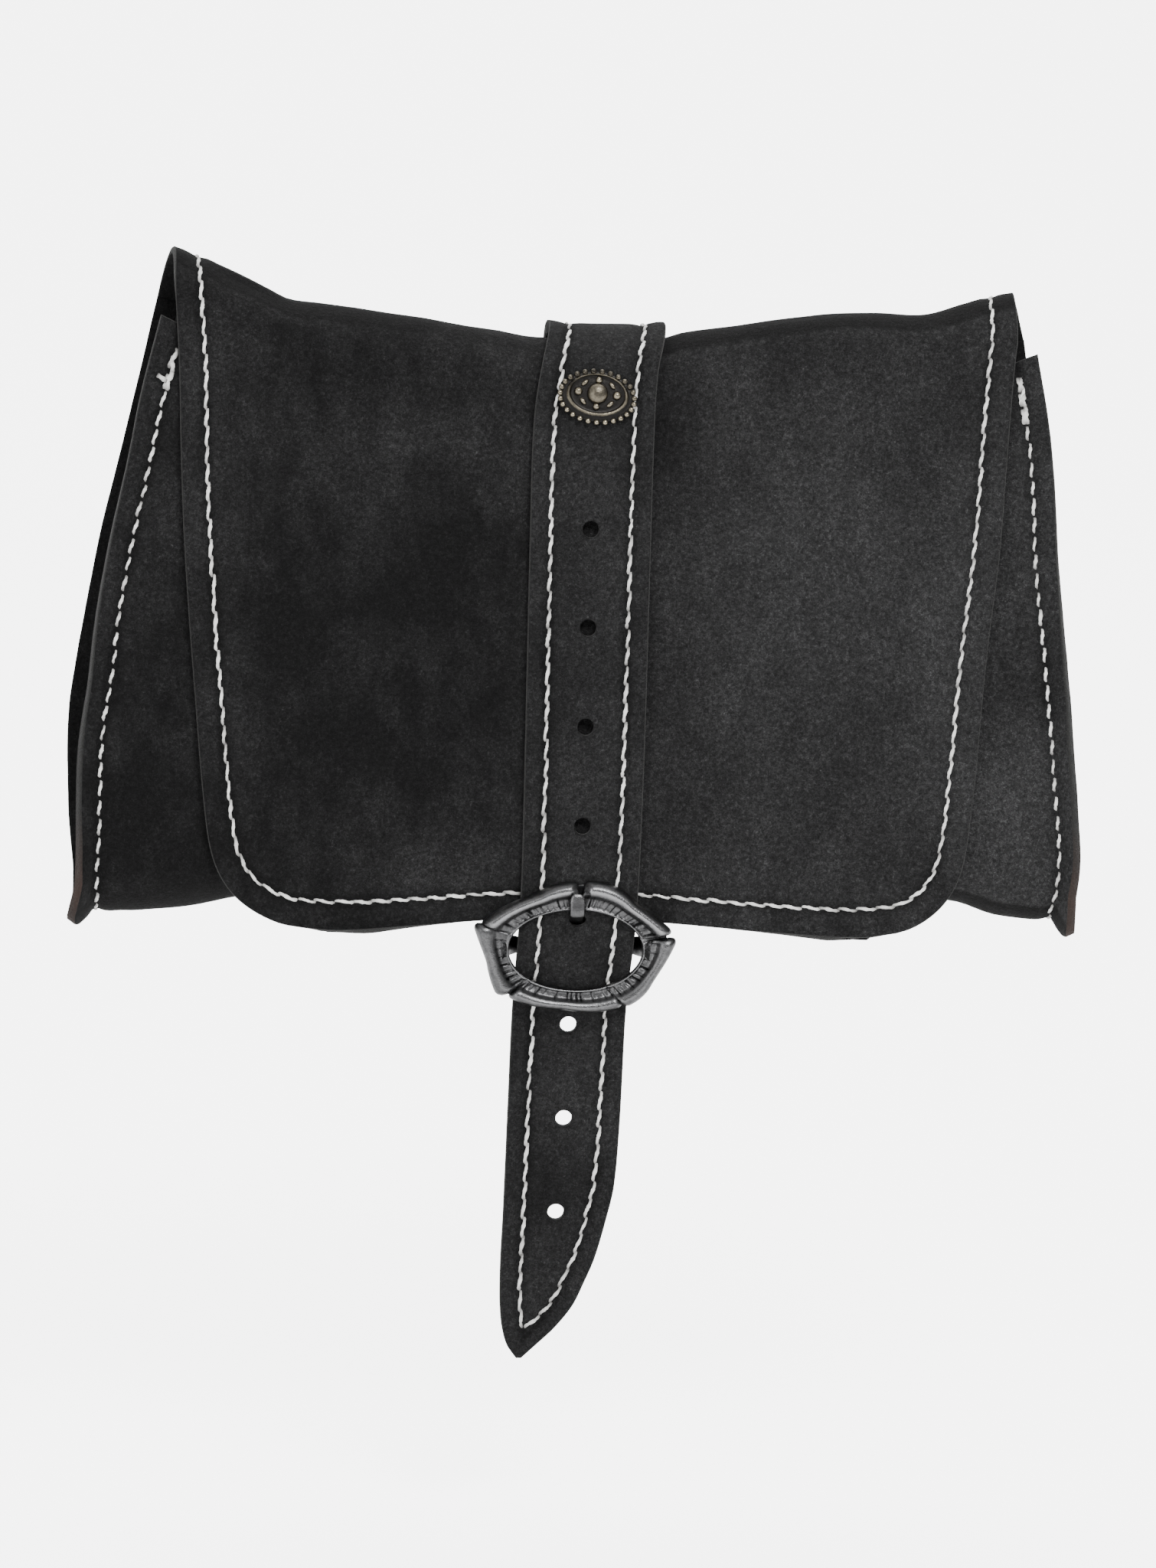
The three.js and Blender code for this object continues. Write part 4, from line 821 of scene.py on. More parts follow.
proud += 1.1 * np.exp(-((to_edge / 4.5) ** 2)) * smooth_step(139, 146, strap_mid[..., 2])
on_front = strap_step > top_step
for k in HOLES:
    middle = strap_middle(hole_height(k))
    far = np.hypot(strap_x - middle[0], strap_mid[..., 2] - middle[2])
    proud -= 0.3 * np.exp(-(((far - HOLE_SIZE / 2) / 0.9) ** 2)) * on_front[:, None]
strap_outer = strap_mid + strap_normals * (STRAP_LEATHER / 2 + proud - 0.15)[..., None]
strap_inner = strap_mid - strap_normals * (STRAP_LEATHER / 2)
STRAP_PATCHES = {
    "x": [0, 8, -8, 6, 0, 0, -6, 4, -10],
    "z": [110, 80, 60, 24, 6, -40, -70, -90, 98],
    "wide": [12, 6, 6, 8, 12, 10, 8, 8, 4],
    "tall": [12, 20, 24, 16, 8, 16, 12, 10, 22],
    "light": [0.15, 0.12, -0.1, 0.1, 0.18, 0.2, -0.15, 0.12, 0.2],
}
strap_nap = nap_of(strap_mid, STRAP_PATCHES)
strap_piece = leather_sheet(
    "strap_leather", strap_outer, strap_inner, {"nap_and_shade": strap_nap, "seam": strap_seam}
)

# %% [markdown]
# ## Punching the holes
#
# The punches are one object of closed rods. The hole that the buckle's tongue is in has been
# pulled long. The walls of the holes take the material of the cut edge from the punch.

# %% Punch the strap


def rods(name, ends, radii, sides=28):
    """Closed rods between pairs of points; each may be wider one way, as radius and stretch."""
    points, faces = [], []
    for (start, end), (radius, stretch) in zip(ends, radii):
        axis = Vector(end - start).normalized()
        turn = axis.to_track_quat("Z", "Y").to_matrix()
        first = len(points)
        for place in (start, end):
            for k in range(sides):
                angle = 2 * math.pi * k / sides
                spot = turn @ Vector((radius * math.cos(angle), radius * stretch * math.sin(angle), 0))
                points.append(np.array(place) + np.array(spot))
        for k in range(sides):
            n = (k + 1) % sides
            faces.append([first + k, first + n, first + sides + n, first + sides + k])
        faces.append([first + k for k in reversed(range(sides))])
        faces.append([first + sides + k for k in range(sides)])
    return new_piece(name, np.array(points), faces, [1] * len(faces))


through = np.array([0, 8.0, 0])
ends = [(strap_middle(hole_height(k)) - through, strap_middle(hole_height(k)) + through) for k in HOLES]
radii = [(HOLE_SIZE / 2, 1.0)] * len(HOLES)
tongue_slot = strap_middle(TONGUE_HOLE)
tongue_slot[2] += TONGUE_PULL
ends.append((tongue_slot - through, tongue_slot + through))
radii.append(TONGUE_SLOT)
punches = rods("punches", ends, radii)
cut = strap_piece.modifiers.new("holes", "BOOLEAN")
cut.object = punches
cut.solver = "EXACT"
strap_piece.data.materials.append(None)
strap_piece.data.materials.append(None)
settle(strap_piece)
bpy.data.objects.remove(punches)
print("strap faces:", len(strap_piece.data.polygons))

# %% [markdown]
# ## Thread
#
# The seams are sewn with thick waxed thread, cream against black. Each stitch that shows is one
# short length of two-ply thread: it comes up through its hole, lies on the leather, slants a
# little to one side and goes down again. So each stitch is its own little bent tube, thin where
# it dives and full in the middle.

# %% Make a row of stitches
THREAD_SIZE = 0.82
STITCH_PITCH = 4.7
THREAD_SIDES = 10
THREAD_RINGS = 15
chance = np.random.default_rng(11)


def fullness(share):
    """How full the thread is along one stitch: thin at both ends, full in the middle."""
    return np.sin(math.pi * np.clip(share, 0.02, 0.98)) ** 0.5


def line_at(points, normals, places):
    along = walked(points)
    where = np.stack([np.interp(places, along, c) for c in points.T], 1)
    square = np.stack([np.interp(places, along, c) for c in normals.T], 1)
    return where, square / np.linalg.norm(square, axis=1, keepdims=True)


def stitches(points, normals, fill=1.1, slant=0.4, size=THREAD_SIZE, start=0.0, end=None, proud=0.0):
    """Stitches along a line: a list of rings of points, one list per stitch."""
    total = walked(points)[-1] if end is None else end
    count = max(1, round((total - start) / STITCH_PITCH))
    pitch = (total - start) / count
    made = []
    for k in range(count):
        middle = start + (k + 0.5) * pitch + chance.normal(0, 0.14)
        reach = pitch * fill * (1 + chance.normal(0, 0.05)) / 2
        share = np.linspace(0, 1, THREAD_RINGS)
        first, last = max(middle - reach, 0.0), min(middle + reach, walked(points)[-1])
        centre, up = line_at(points, normals, mix(first, last, share))
        along = np.gradient(centre, axis=0)
        along /= np.linalg.norm(along, axis=1, keepdims=True)
        side = np.cross(up, along)
        side /= np.linalg.norm(side, axis=1, keepdims=True)
        full = fullness(share)
        uneven = 1 + chance.normal(0, 0.08) + chance.normal(0, 0.09, THREAD_RINGS)
        thick = size / 2 * (0.68 + 0.32 * full) * uneven
        sway = slant * (0.5 - share + 0.3 * np.sin(2 * math.pi * share)) + chance.normal(0, 0.08)
        lift = size * (0.58 * full - 0.36) + proud
        centre = centre + side * sway[:, None] + up * lift[:, None]
        rings = []
        for i in range(THREAD_RINGS):
            angle = 2 * math.pi * np.arange(THREAD_SIDES) / THREAD_SIDES
            ply = 1 + 0.17 * np.cos(2 * (angle - 2.2 * math.pi * share[i]))
            ring = np.cos(angle)[:, None] * side[i] + 0.86 * np.sin(angle)[:, None] * up[i]
            rings.append(centre[i] + ring * (thick[i] * ply)[:, None])
        made.append(np.array(rings))
    return made


def thread_piece(name, groups):
    """All the stitches of some seams as one piece of thread."""
    rings = np.array([stitch for group in groups for stitch in group])
    count, ring_count, sides = rings.shape[:3]
    index = np.arange(count * ring_count * sides).reshape(count, ring_count, sides)
    a, b = index[:, :-1], index[:, 1:]
    walls = np.stack([a, np.roll(a, -1, axis=2), np.roll(b, -1, axis=2), b], -1).reshape(-1, 4)
    caps = index[:, 0, ::-1].tolist() + index[:, -1].tolist()
    own = chance.uniform(0, 0.5, (count, 1, 1))
    # Each stitch is darker at its ends, where it dives, and lighter in the middle: painted shade and
    # highlight.
    along = fullness(np.linspace(0, 1, ring_count))[None, :, None]
    tone = np.broadcast_to(own + 0.7 * along**2, (count, ring_count, sides))
    piece = new_piece(name, rings.reshape(-1, 3), walls.tolist() + caps, None, {"tone": tone})
    print(name, "stitches:", count)
    return piece


# %% [markdown]
# ## Sewing the flap
#
# The line found with the groover lies in the front view, so each of its points is dropped onto
# the finished leather. A ray shot from the front finds the surface and its normal there.

# %% Thread on the flap
leather_tree = BVHTree.FromObject(body_piece, bpy.context.evaluated_depsgraph_get())


def drop_on(tree, spots, from_y=-0.3):
    """Front-view spots in millimetres, dropped onto a surface."""
    where, square = [], []
    for x, z in spots:
        start = to_metres([x, 0, z])
        hit, normal = tree.ray_cast(Vector((start[0], from_y, start[2])), Vector((0, 1, 0)))[:2]
        if hit is not None:
            where.append(np.array(hit) / MM + ORIGIN)
            square.append(np.array(normal if normal.y < 0 else -normal))
    return np.array(where), averaged(np.array(square), 3)


flap_points, flap_normals = drop_on(leather_tree, flap_stitch_line)
flap_thread = [stitches(flap_points, flap_normals)]
for column in (STITCH_LEFT, STITCH_RIGHT):
    fold = outer_face[BACK_END - 2: FLAP_START, column]
    fold_normals = body_normals[BACK_END - 2: FLAP_START, column]
    flap_thread.append(stitches(fold, fold_normals))
thread_flap = thread_piece("thread_flap", flap_thread)

# %% [markdown]
# ## Sewing the sides
#
# The side seams are sewn through two raw edges with separate running stitches. They start at the
# mouth, go down the front, along under the bottom and up the back. Each seam is locked at its
# start with a few stitches sewn over each other, and on the left a short end stands out.

# %% Thread on the side seams
BACKTACK_LEFT = 17.0
BACKTACK_RIGHT = 16.0


def side_thread(column, tack_end, lock):
    line = outer_face[: BACK_END + 1, column]
    square = body_normals[: BACK_END + 1, column]
    groups = [stitches(line, square, fill=0.82, slant=0.35, size=0.8, start=tack_end)]
    for size, sway, start in lock:
        lock_row = {"size": size, "slant": sway, "start": start, "end": tack_end}
        groups.append(stitches(line, square, fill=0.95, proud=0.25, **lock_row))
    return groups


left_lock = [(1.3, 0.7, 6.0), (1.0, -0.7, 8.0)]
right_lock = [(1.2, 0.6, 4.0), (1.05, -0.8, 4.0), (0.95, 1.0, 6.5)]
left_groups = side_thread(STITCH_LEFT, BACKTACK_LEFT, left_lock)
right_groups = side_thread(STITCH_RIGHT, BACKTACK_RIGHT, right_lock)
left_line, left_out = outer_face[:60, STITCH_LEFT], body_normals[:60, STITCH_LEFT]
loose_at, loose_up = line_at(left_line, left_out, [BACKTACK_LEFT - 2])
loose_end = loose_at[0] + np.array([-2.6, -0.9, 1.9])
loose = np.linspace(loose_at[0] + 0.4 * loose_up[0], loose_end, 8)
loose_out = np.repeat(loose_up, 8, axis=0)
left_groups.append(stitches(loose, loose_out, fill=1.0, slant=0.0, size=1.2, proud=0.4))
thread_left = thread_piece("thread_left", left_groups)
thread_right = thread_piece("thread_right", right_groups)

# %% [markdown]
# ## Sewing the strap
#
# The strap's two lines of stitches run one margin in from its edges, from the back over the top
# and down to the point, where they meet. On the strap a place is given by how far along it lies
# and how far across, which is the maker's flat pattern of it.

# %% Thread on the strap
strap_face_normals = normals_of(strap_outer)


def on_strap(x, step):
    """Points and normals on the strap's face, from places on its flat pattern."""
    row = np.interp(step, strap_step, np.arange(len(strap_step)))
    low = np.floor(row).astype(int).clip(0, len(strap_step) - 2)
    found = []
    for grid in (strap_outer, strap_face_normals):
        line = []
        for k, place in zip(low, row):
            pair = [[np.interp(x[len(line)], strap_x[r], c) for c in grid[r].T] for r in (k, k + 1)]
            line.append(mix(np.array(pair[0]), np.array(pair[1]), place - k))
        found.append(np.array(line))
    return found


edges = [np.stack([side, strap_step], 1) for side in (strap_left, strap_right)]
centre_line = np.stack([(strap_left + strap_right) / 2, strap_step], 1)
inner_lines = [step_in(edge, STRAP_MARGIN, centre_line) for edge in edges]
common = np.linspace(6, steps[-1], 420)
across_left, across_right = [np.interp(common, line[:, 1], line[:, 0]) for line in inner_lines]
open_strap = across_right - across_left > 0.3
meet = len(common) if open_strap.all() else int(np.argmin(open_strap))
left_points, left_square = on_strap(across_left[:meet], common[:meet])
right_points, right_square = on_strap(across_right[:meet], common[:meet])
foot_x = np.linspace(across_left[0], across_right[0], 12)
foot_points, foot_square = on_strap(foot_x, np.full(12, common[0]))
thread_strap = thread_piece(
    "thread_strap",
    [
        stitches(left_points, left_square),
        stitches(right_points, right_square),
        stitches(foot_points, foot_square),
    ],
)

# %% [markdown]
# ## The strap that carries the buckle
#
# A short strap is sewn under the bottom, goes round the buckle's bar and back under itself. It
# has a slot in the middle so that the tongue can turn on the bar.

# %% Buckle sizes and the short strap
FRAME_RADIUS, FRAME_THICK = 25.2, 3.4
OPENING_WIDTH, OPENING_HEIGHT = 34.6, 21.2
LIP_REACH = 0.6
BUCKLE_DROP, BAR_SIZE, BAR_CLEAR = 6.0, 3.4, 0.2
HOLDER_WIDTH, HOLDER_LEATHER, HOLDER_ANCHOR = 22.0, 1.8, 24.0
HOLDER_SLOT = (2.5, 1.6)
TONGUE_WIDTH, TONGUE_THICK = 3.6, 1.6
buckle = strap_middle(-BUCKLE_DROP)
frame_back = float(strap_y(0.0)) - STRAP_LEATHER / 2 - GAP
bar_y = buckle[1] + STRAP_LEATHER / 2 + GAP + HOLDER_LEATHER + BAR_CLEAR + BAR_SIZE / 2
bar = np.array([buckle[0], bar_y, -BUCKLE_DROP])


def bottom_z(y):
    share = mix(0.2, 0.8, (y - CORNER_RADIUS + DEPTH) / (DEPTH - 2 * CORNER_RADIUS))
    return BOTTOM_ARCH * float(curve(BOTTOM_SEAM, "arch", share))


def round_bar(radius, start, stop, count):
    turns = np.radians(np.linspace(start, stop, count))
    return [(bar[1] + radius * math.cos(t), bar[2] + radius * math.sin(t)) for t in turns]


def fair_path(path, count):
    path = np.array(path)
    knots = {"at": walked(path), "y": path[:, 0], "z": path[:, 1]}
    even = np.linspace(0, knots["at"][-1], count)
    return np.stack([curve(knots, "y", even), curve(knots, "z", even)], 1)


def ply(share, layer):
    y = CORNER_RADIUS - DEPTH + HOLDER_ANCHOR * share
    return (y, bottom_z(y) - GAP - HOLDER_LEATHER / 2 - layer * (HOLDER_LEATHER + GAP))


holder_radius = BAR_SIZE / 2 + BAR_CLEAR + HOLDER_LEATHER / 2
holder_path = [ply(share, 0) for share in (1, 0.66, 0.33, 0)]
holder_path += round_bar(holder_radius, 70, 300, 14)
holder_path += [ply(share, 1) for share in (0, 0.33)]
holder_line = fair_path(holder_path, 90)
holder_x = bar[0] + HOLDER_WIDTH * np.linspace(-0.5, 0.5, 24)
holder_mid = np.array([[(x, y, z) for x in holder_x] for y, z in holder_line])
holder_normals = normals_of(holder_mid)
holder_edge = HOLDER_WIDTH / 2 - abs(holder_mid[..., 0] - bar[0])
holder_values = {"nap_and_shade": 0.1 * hills(holder_mid, 8, 4), "seam": abs(holder_edge - 3.0)}
holder_piece = leather_sheet(
    "holder_leather",
    holder_mid + holder_normals * HOLDER_LEATHER / 2,
    holder_mid - holder_normals * HOLDER_LEATHER / 2,
    holder_values,
)
slot_reach = np.array([0, 0, 5.0])
slot = rods("slot", [(bar - slot_reach, bar + slot_reach)], [HOLDER_SLOT])
cut = holder_piece.modifiers.new("slot", "BOOLEAN")
cut.object = slot
cut.solver = "EXACT"
holder_piece.data.materials.append(None)
holder_piece.data.materials.append(None)
settle(holder_piece)
bpy.data.objects.remove(slot)
print("short strap faces:", len(holder_piece.data.polygons))

# %% [markdown]
# ## The cast buckle
#
# The frame is a casting with five curved arms that follow each other like the sails of a
# pinwheel. Each arm has a thick rounded ridge outside, a sloping band with engraved notches, and
# a thin lip round the opening. One section is swept round the opening, and its outer edge and
# its height change with the angle, so that the arms start and end in rounded horns. It could be
# sculpted, but a sweep keeps the ridges even and gives each arm its few numbers.

# %% Shape of the arms
ARMS = {
    "start": [9.5, 87.5, 164.5, 214, 310.5],
    "start_radius": [0.985, 0.665, 1.045, 0.815, 0.745],
    "waist": [40, 122, 190, 262, 335],
    "waist_radius": [0.745, 0.675, 0.87, 0.6, 0.82],
    "end": [84.5, 166.5, 213, 312, 368],
    "end_radius": [0.675, 0.985, 0.885, 0.73, 1.01],
    "tall": [1.0, 1.0, 0.86, 0.92, 0.88],
    # Ridge brightness per arm: the two top arms much brighter, partly wear and partly a painted highlight of
    # light from above.
    "rubbed_and_lit": [1.6, 1.5, 0.4, 0.6, 0.5],
}
ARM_REACH = 1.025
NOTCH_ANGLE, NOTCH_DEPTH, NOTCH_SPREAD = 86.0, 0.45, 7.0
ARM_SECTION = {
    "at": [0, 0.03, 0.07, 0.12, 0.2, 0.34, 0.41, 0.47, 0.55, 0.65, 0.75, 0.86, 0.94, 0.98, 1.0],
    "high": [0.2, 0.42, 0.47, 0.4, 0.36, 0.42, 0.48, 0.64, 0.86, 0.98, 1.0, 0.88, 0.62, 0.36, 0.1],
}
ENGRAVING_PITCH = 6.2


def opening_radius(angle):
    a, b = OPENING_WIDTH / 2, OPENING_HEIGHT / 2
    turn = math.radians(angle)
    return a * b / math.hypot(b * math.cos(turn), a * math.sin(turn)) - LIP_REACH


def arm_radius(k, place):
    waist, narrow = ARMS["waist"][k], ARMS["waist_radius"][k]
    side = "start" if place < waist else "end"
    share = abs(place - waist) / abs(ARMS[side][k] - waist)
    return FRAME_RADIUS * ARM_REACH * mix(narrow, ARMS[side + "_radius"][k], share**1.6)


def arm_rounding(k, place):
    """0 at an arm's very tips and 1 a few degrees in."""
    near = min(place - ARMS["start"][k], ARMS["end"][k] - place)
    return math.sqrt(max(0.0, 1 - (1 - min(near / 5.0, 1)) ** 2))


# %% [markdown]
# ## Casting the frame
#
# Each arm is swept on its own and closed at both ends, and a plain low ring under them joins the
# five. The bar is a round rod that leaves the frame at the sides and passes behind the strap.
# Values kept at the points say how high and how open each spot is, so that the metal can be
# bright on the ridges and dark in the engraving. The same values paint highlights: stronger on
# the ridges of the two top arms and on the lip of the opening, most at its bottom, where light
# from above falls.

# %% Sweep the arms, the ring and the bar
ARM_TURNS = 90
SECTION_POINTS = np.concatenate([np.linspace(0, 0.2, 10, endpoint=False), np.linspace(0.2, 1, 26)])
parts = {"points": [], "faces": [], "bright": []}


def add_grid(grid, bright, closed_rows=False):
    first = sum(len(p) for p in parts["points"])
    rows, columns = grid.shape[:2]
    index = first + np.arange(rows * columns).reshape(rows, columns)
    parts["points"].append(grid.reshape(-1, 3))
    parts["bright"].append(np.asarray(bright).ravel())
    after = np.roll(index, -1, axis=0) if closed_rows else index[1:]
    before = index if closed_rows else index[:-1]
    a, b, c, d = before, np.roll(before, -1, axis=1), np.roll(after, -1, axis=1), after
    parts["faces"] += np.stack([a, b, c, d], -1).reshape(-1, 4).tolist()
    if not closed_rows:
        parts["faces"] += [index[0, ::-1].tolist(), index[-1].tolist()]


def cast_piece(name, points):
    """One casting from the grids gathered in parts, with its bright and dark places."""
    return new_piece(name, points, parts["faces"], None, {"bright": np.concatenate(parts["bright"])})


def frame_place(radius, angle, height):
    turn = math.radians(angle)
    x, z = radius * np.cos(turn), radius * np.sin(turn)
    return np.stack([buckle[0] + x, frame_back - height, -BUCKLE_DROP + z], -1)


for k in range(5):
    rows, bright = [], []
    for angle in np.linspace(ARMS["start"][k], ARMS["end"][k], ARM_TURNS):
        inner, outer = opening_radius(angle), arm_radius(k, angle)
        rounding = arm_rounding(k, angle)
        outer = mix(mix(inner, outer, 0.76), outer, rounding)
        dip = 1 - NOTCH_DEPTH * math.exp(-(((angle - NOTCH_ANGLE) / NOTCH_SPREAD) ** 4))
        high = curve(ARM_SECTION, "high", SECTION_POINTS) * FRAME_THICK * dip * ARMS["tall"][k]
        wobble = 0.16 * math.sin(angle * 0.9 + k) + 0.1 * math.sin(angle * 2.3)
        turn = angle / ENGRAVING_PITCH + wobble + 0.35 * SECTION_POINTS
        stroke = (0.5 + 0.5 * np.cos(2 * math.pi * turn)) ** 7 * (0.7 + 0.3 * math.sin(angle * 1.7 + k))
        band = smooth_step(0.1, 0.16, SECTION_POINTS) * (1 - smooth_step(0.42, 0.54, SECTION_POINTS))
        high = high - 0.55 * stroke * band
        high *= mix(0.4, 1.0, rounding)
        radius = mix(inner, outer, SECTION_POINTS)
        face = frame_place(radius, angle, high)
        back = frame_place(radius[[-1, 0]], angle, np.zeros(2))
        rows.append(np.concatenate([face, back]))
        ridge = ARMS["rubbed_and_lit"][k] * np.exp(-(((SECTION_POINTS - 0.7) / 0.09) ** 2))
        # The lip round the opening is made lighter, most at the bottom: a painted highlight where light from
        # above falls.
        below = max(0.0, -math.sin(math.radians(angle)))
        lip_highlight = mix(0.4, 0.9, below) * np.exp(-(((SECTION_POINTS - 0.07) / 0.04) ** 2))
        wear_and_highlight_here = 0.9 * ridge * rounding + lip_highlight - 1.1 * stroke * band + 0.1 * band
        bright.append(np.concatenate([wear_and_highlight_here, [0, 0]]))
    add_grid(np.array(rows), bright)
rows, bright = [], []
for angle in np.linspace(0, 360, 220, endpoint=False):
    arm = min(range(5), key=lambda k: (angle - ARMS["start"][k]) % 360)
    start = ARMS["start"][arm]
    place = start + (angle - start) % 360
    edge = arm_radius(arm, min(place, ARMS["end"][arm]))
    inner = opening_radius(angle)
    radius = mix(inner, min(edge, FRAME_RADIUS * 0.95), np.array([0.02, 0.05, 0.3, 0.8, 0.88, 0.88, 0.02]))
    high = np.array([0.2, 0.28, 0.12, 0.12, 0.1, 0.0, 0.0]) * FRAME_THICK
    notch = math.exp(-(((angle - NOTCH_ANGLE) / 4.5) ** 4))
    rows.append(frame_place(radius, angle, high * (1 - 0.2 * notch)))
    # The low ring's lip is made lighter as well, a painted highlight, and its low band darker.
    bright.append([0.2, 0.5, -0.4, -0.5, -0.2, 0, 0])
add_grid(np.array(rows), bright, closed_rows=True)

# %% [markdown]
# ## The bar
#
# The tongue and the short strap turn on a round bar behind the strap. A plain cylinder would end
# in the air there, so a circle is swept along a route that bends forward into the frame at both
# ends. The arms, the ring and the bar are then one piece, like the real casting.

# %% Add the bar and make the casting


def sweep(path, section, twist_side=(1, 0, 0)):
    """A closed section of (side, up) pairs carried along a path of points."""
    along = np.gradient(path, axis=0)
    along /= np.linalg.norm(along, axis=1, keepdims=True)
    side = np.array(twist_side, float) - along * (along @ np.array(twist_side, float))[:, None]
    side /= np.linalg.norm(side, axis=1, keepdims=True)
    up = np.cross(along, side)
    section = np.broadcast_to(section, (len(path), *np.asarray(section).shape[-2:]))
    return path[:, None] + section[..., :1] * side[:, None] + section[..., 1:] * up[:, None]


turns = np.linspace(0, 2 * math.pi, 20, endpoint=False)
circle = np.stack([np.cos(turns), np.sin(turns)], 1)
half_opening = OPENING_WIDTH / 2
in_frame, leaving = frame_back - 1.1, frame_back + BAR_SIZE
bar_route = {
    "at": [-1.09, -1.03, -0.86, -0.5, 0.5, 0.86, 1.03, 1.09],
    "y": [in_frame, leaving, bar_y, bar_y, bar_y, bar_y, leaving, in_frame],
}
shares = np.linspace(-1.09, 1.09, 60)
bar_path = np.stack(
    [bar[0] + shares * half_opening, curve(bar_route, "y", shares), np.full(60, bar[2])], 1
)
flare = 1 + 0.5 * smooth_step(0.7, 0.98, abs(shares))
bar_section = circle[None] * BAR_SIZE / 2 * np.stack([flare, np.ones(60)], 1)[:, None]
# The bar is made darker than the plain casting all over: patina, and painted shade for its place behind the
# strap.
add_grid(sweep(bar_path, bar_section, (0, 0, 1)), np.full((60, 20), -0.4))
frame_piece = cast_piece("frame_cast", np.concatenate(parts["points"]))
print("cast frame faces:", len(frame_piece.data.polygons))

# %% [markdown]
# ## The tongue
#
# The tongue is a flat strip of metal rolled round the bar. It comes forward through the strap's
# hole and rests in the notch at the top of the frame. Its end is rounded off. A bevelled curve
# has one section all along, so the strip is swept as the bar is, with a section that narrows.

# %% Bend the tongue
tongue_radius = BAR_SIZE / 2 + BAR_CLEAR + TONGUE_THICK / 2
tongue_rest = frame_back - FRAME_THICK * (1 - NOTCH_DEPTH) - 4 * GAP - TONGUE_THICK / 2
hole_y = buckle[1]
top_edge = bar[2] + OPENING_HEIGHT / 2
tongue_points = round_bar(tongue_radius, -230, 80, 16)
tongue_low = TONGUE_HOLE + TONGUE_PULL
tongue_points += [(hole_y, tongue_low), (mix(hole_y, tongue_rest, 0.6), tongue_low + TONGUE_THICK)]
tongue_points += [(tongue_rest + y, top_edge + z) for y, z in ((0, -1.0), (0, 2.0), (0.3, 4.2))]
tongue_line = fair_path(tongue_points, 90)
tongue_path = np.stack([np.full(90, bar[0]), tongue_line[:, 0], tongue_line[:, 1]], 1)
from_end = walked(tongue_path)[-1] - walked(tongue_path)
width = TONGUE_WIDTH / 2 * np.sqrt(np.clip(1 - (1 - np.clip(from_end / 2.0, 0, 1)) ** 2, 0.03, 1))
thickness = TONGUE_THICK / 2 * np.sqrt(np.clip(1 - (1 - np.clip(from_end / 0.9, 0, 1)) ** 2, 0.05, 1))
bulge = np.sign(circle) * abs(circle) ** 0.6
tongue_section = bulge[None] * np.stack([width, thickness], 1)[:, None]
parts = {"points": [], "faces": [], "bright": []}
# The tongue's end and its two edges are made brighter: painted highlights.
tongue_highlight = 0.5 * np.exp(-((from_end[:, None] / 2.5) ** 2)) + 0.2 * abs(bulge[None, :, 0]) ** 6
add_grid(sweep(tongue_path, tongue_section), tongue_highlight)
tongue_piece = cast_piece("tongue_cast", np.concatenate(parts["points"]))

# %% [markdown]
# ## The oval stud
#
# The stud is a small casting: a ring of beads, a raised oval rim, and inside it a round boss with
# eight pellets, of which the four on the diagonals are narrow. It leans back with the strap
# under the fold. The beads could be left to the bump of the material, but they show in the
# outline, so each is a small dome. The stud is built flat, x to the right and y up, and is then
# set on the strap.

# %% Sizes and parts of the stud
STUD_WIDTH, STUD_HEIGHT, STUD_THICK, STUD_BOSS, STUD_DROP = 20.3, 14.3, 1.2, 4.9, 14.4
BEADS, BEAD_SIZE, PELLETS, PELLET_SIZE = 27, 1.45, 8, 2.2
STUD_TURN = math.radians(-6)
STUD_SECTION = {
    "at": [0.0, 0.5, 0.72, 0.755, 0.78, 0.805, 0.84, 0.93, 0.97, 1.0],
    "high": [0.5, 0.5, 0.52, 0.88, 1.1, 0.88, 0.56, 0.5, 0.42, 0.1],
}
stud_half = np.array([STUD_WIDTH - BEAD_SIZE, STUD_HEIGHT - BEAD_SIZE]) / 2
parts = {"points": [], "faces": [], "bright": []}
outs = np.linspace(0.02, 1, 44)
turns = np.linspace(0, 2 * math.pi, 96, endpoint=False)
highs = curve(STUD_SECTION, "high", outs) * STUD_THICK
rows, bright = [], []
for turn in turns:
    raised = 0.7 * np.clip((1 - outs) / 0.22, 0, 1)
    east, north = outs * math.cos(turn) * stud_half[0], outs * math.sin(turn) * stud_half[1]
    spot = np.stack([east, north + raised, highs], 1)
    rim = spot[-1] * [1, 1, 0]
    rows.append(np.concatenate([spot, [rim, [0.02 * rim[0], 0.02 * rim[1], 0]]]))
    # The rim is kept dark except at its lower right, which is painted brighter as a highlight.
    lit_lower_right = max(0.0, math.cos(turn + 1.05))
    on_rim = np.exp(-(((outs - 0.78) / 0.02) ** 2))
    shine = (0.8 * lit_lower_right - 0.4) * on_rim - 0.8 * (abs(outs - 0.78) > 0.04)
    bright.append(np.concatenate([shine, [0, 0]]))
add_grid(np.array(rows), bright, closed_rows=True)


def dome(x, y, base, size, high, stretch=1.0, lean=0.0, shine=0.8):
    """A rounded stud standing on the plate."""
    tilts = np.linspace(math.pi / 2 * 0.98, -0.35, 9)
    spins = np.linspace(0, 2 * math.pi, 18, endpoint=False)
    tilt, spin = np.meshgrid(tilts, spins, indexing="ij")
    px = size / 2 * np.cos(tilt) * np.cos(spin) * stretch
    py = size / 2 * np.cos(tilt) * np.sin(spin)
    c, s = math.cos(lean), math.sin(lean)
    grid = np.stack([x + px * c - py * s, y + px * s + py * c, base + high * np.sin(tilt)], -1)
    add_grid(grid, shine * np.sin(tilt) - 0.3 * (tilt < 0.1))


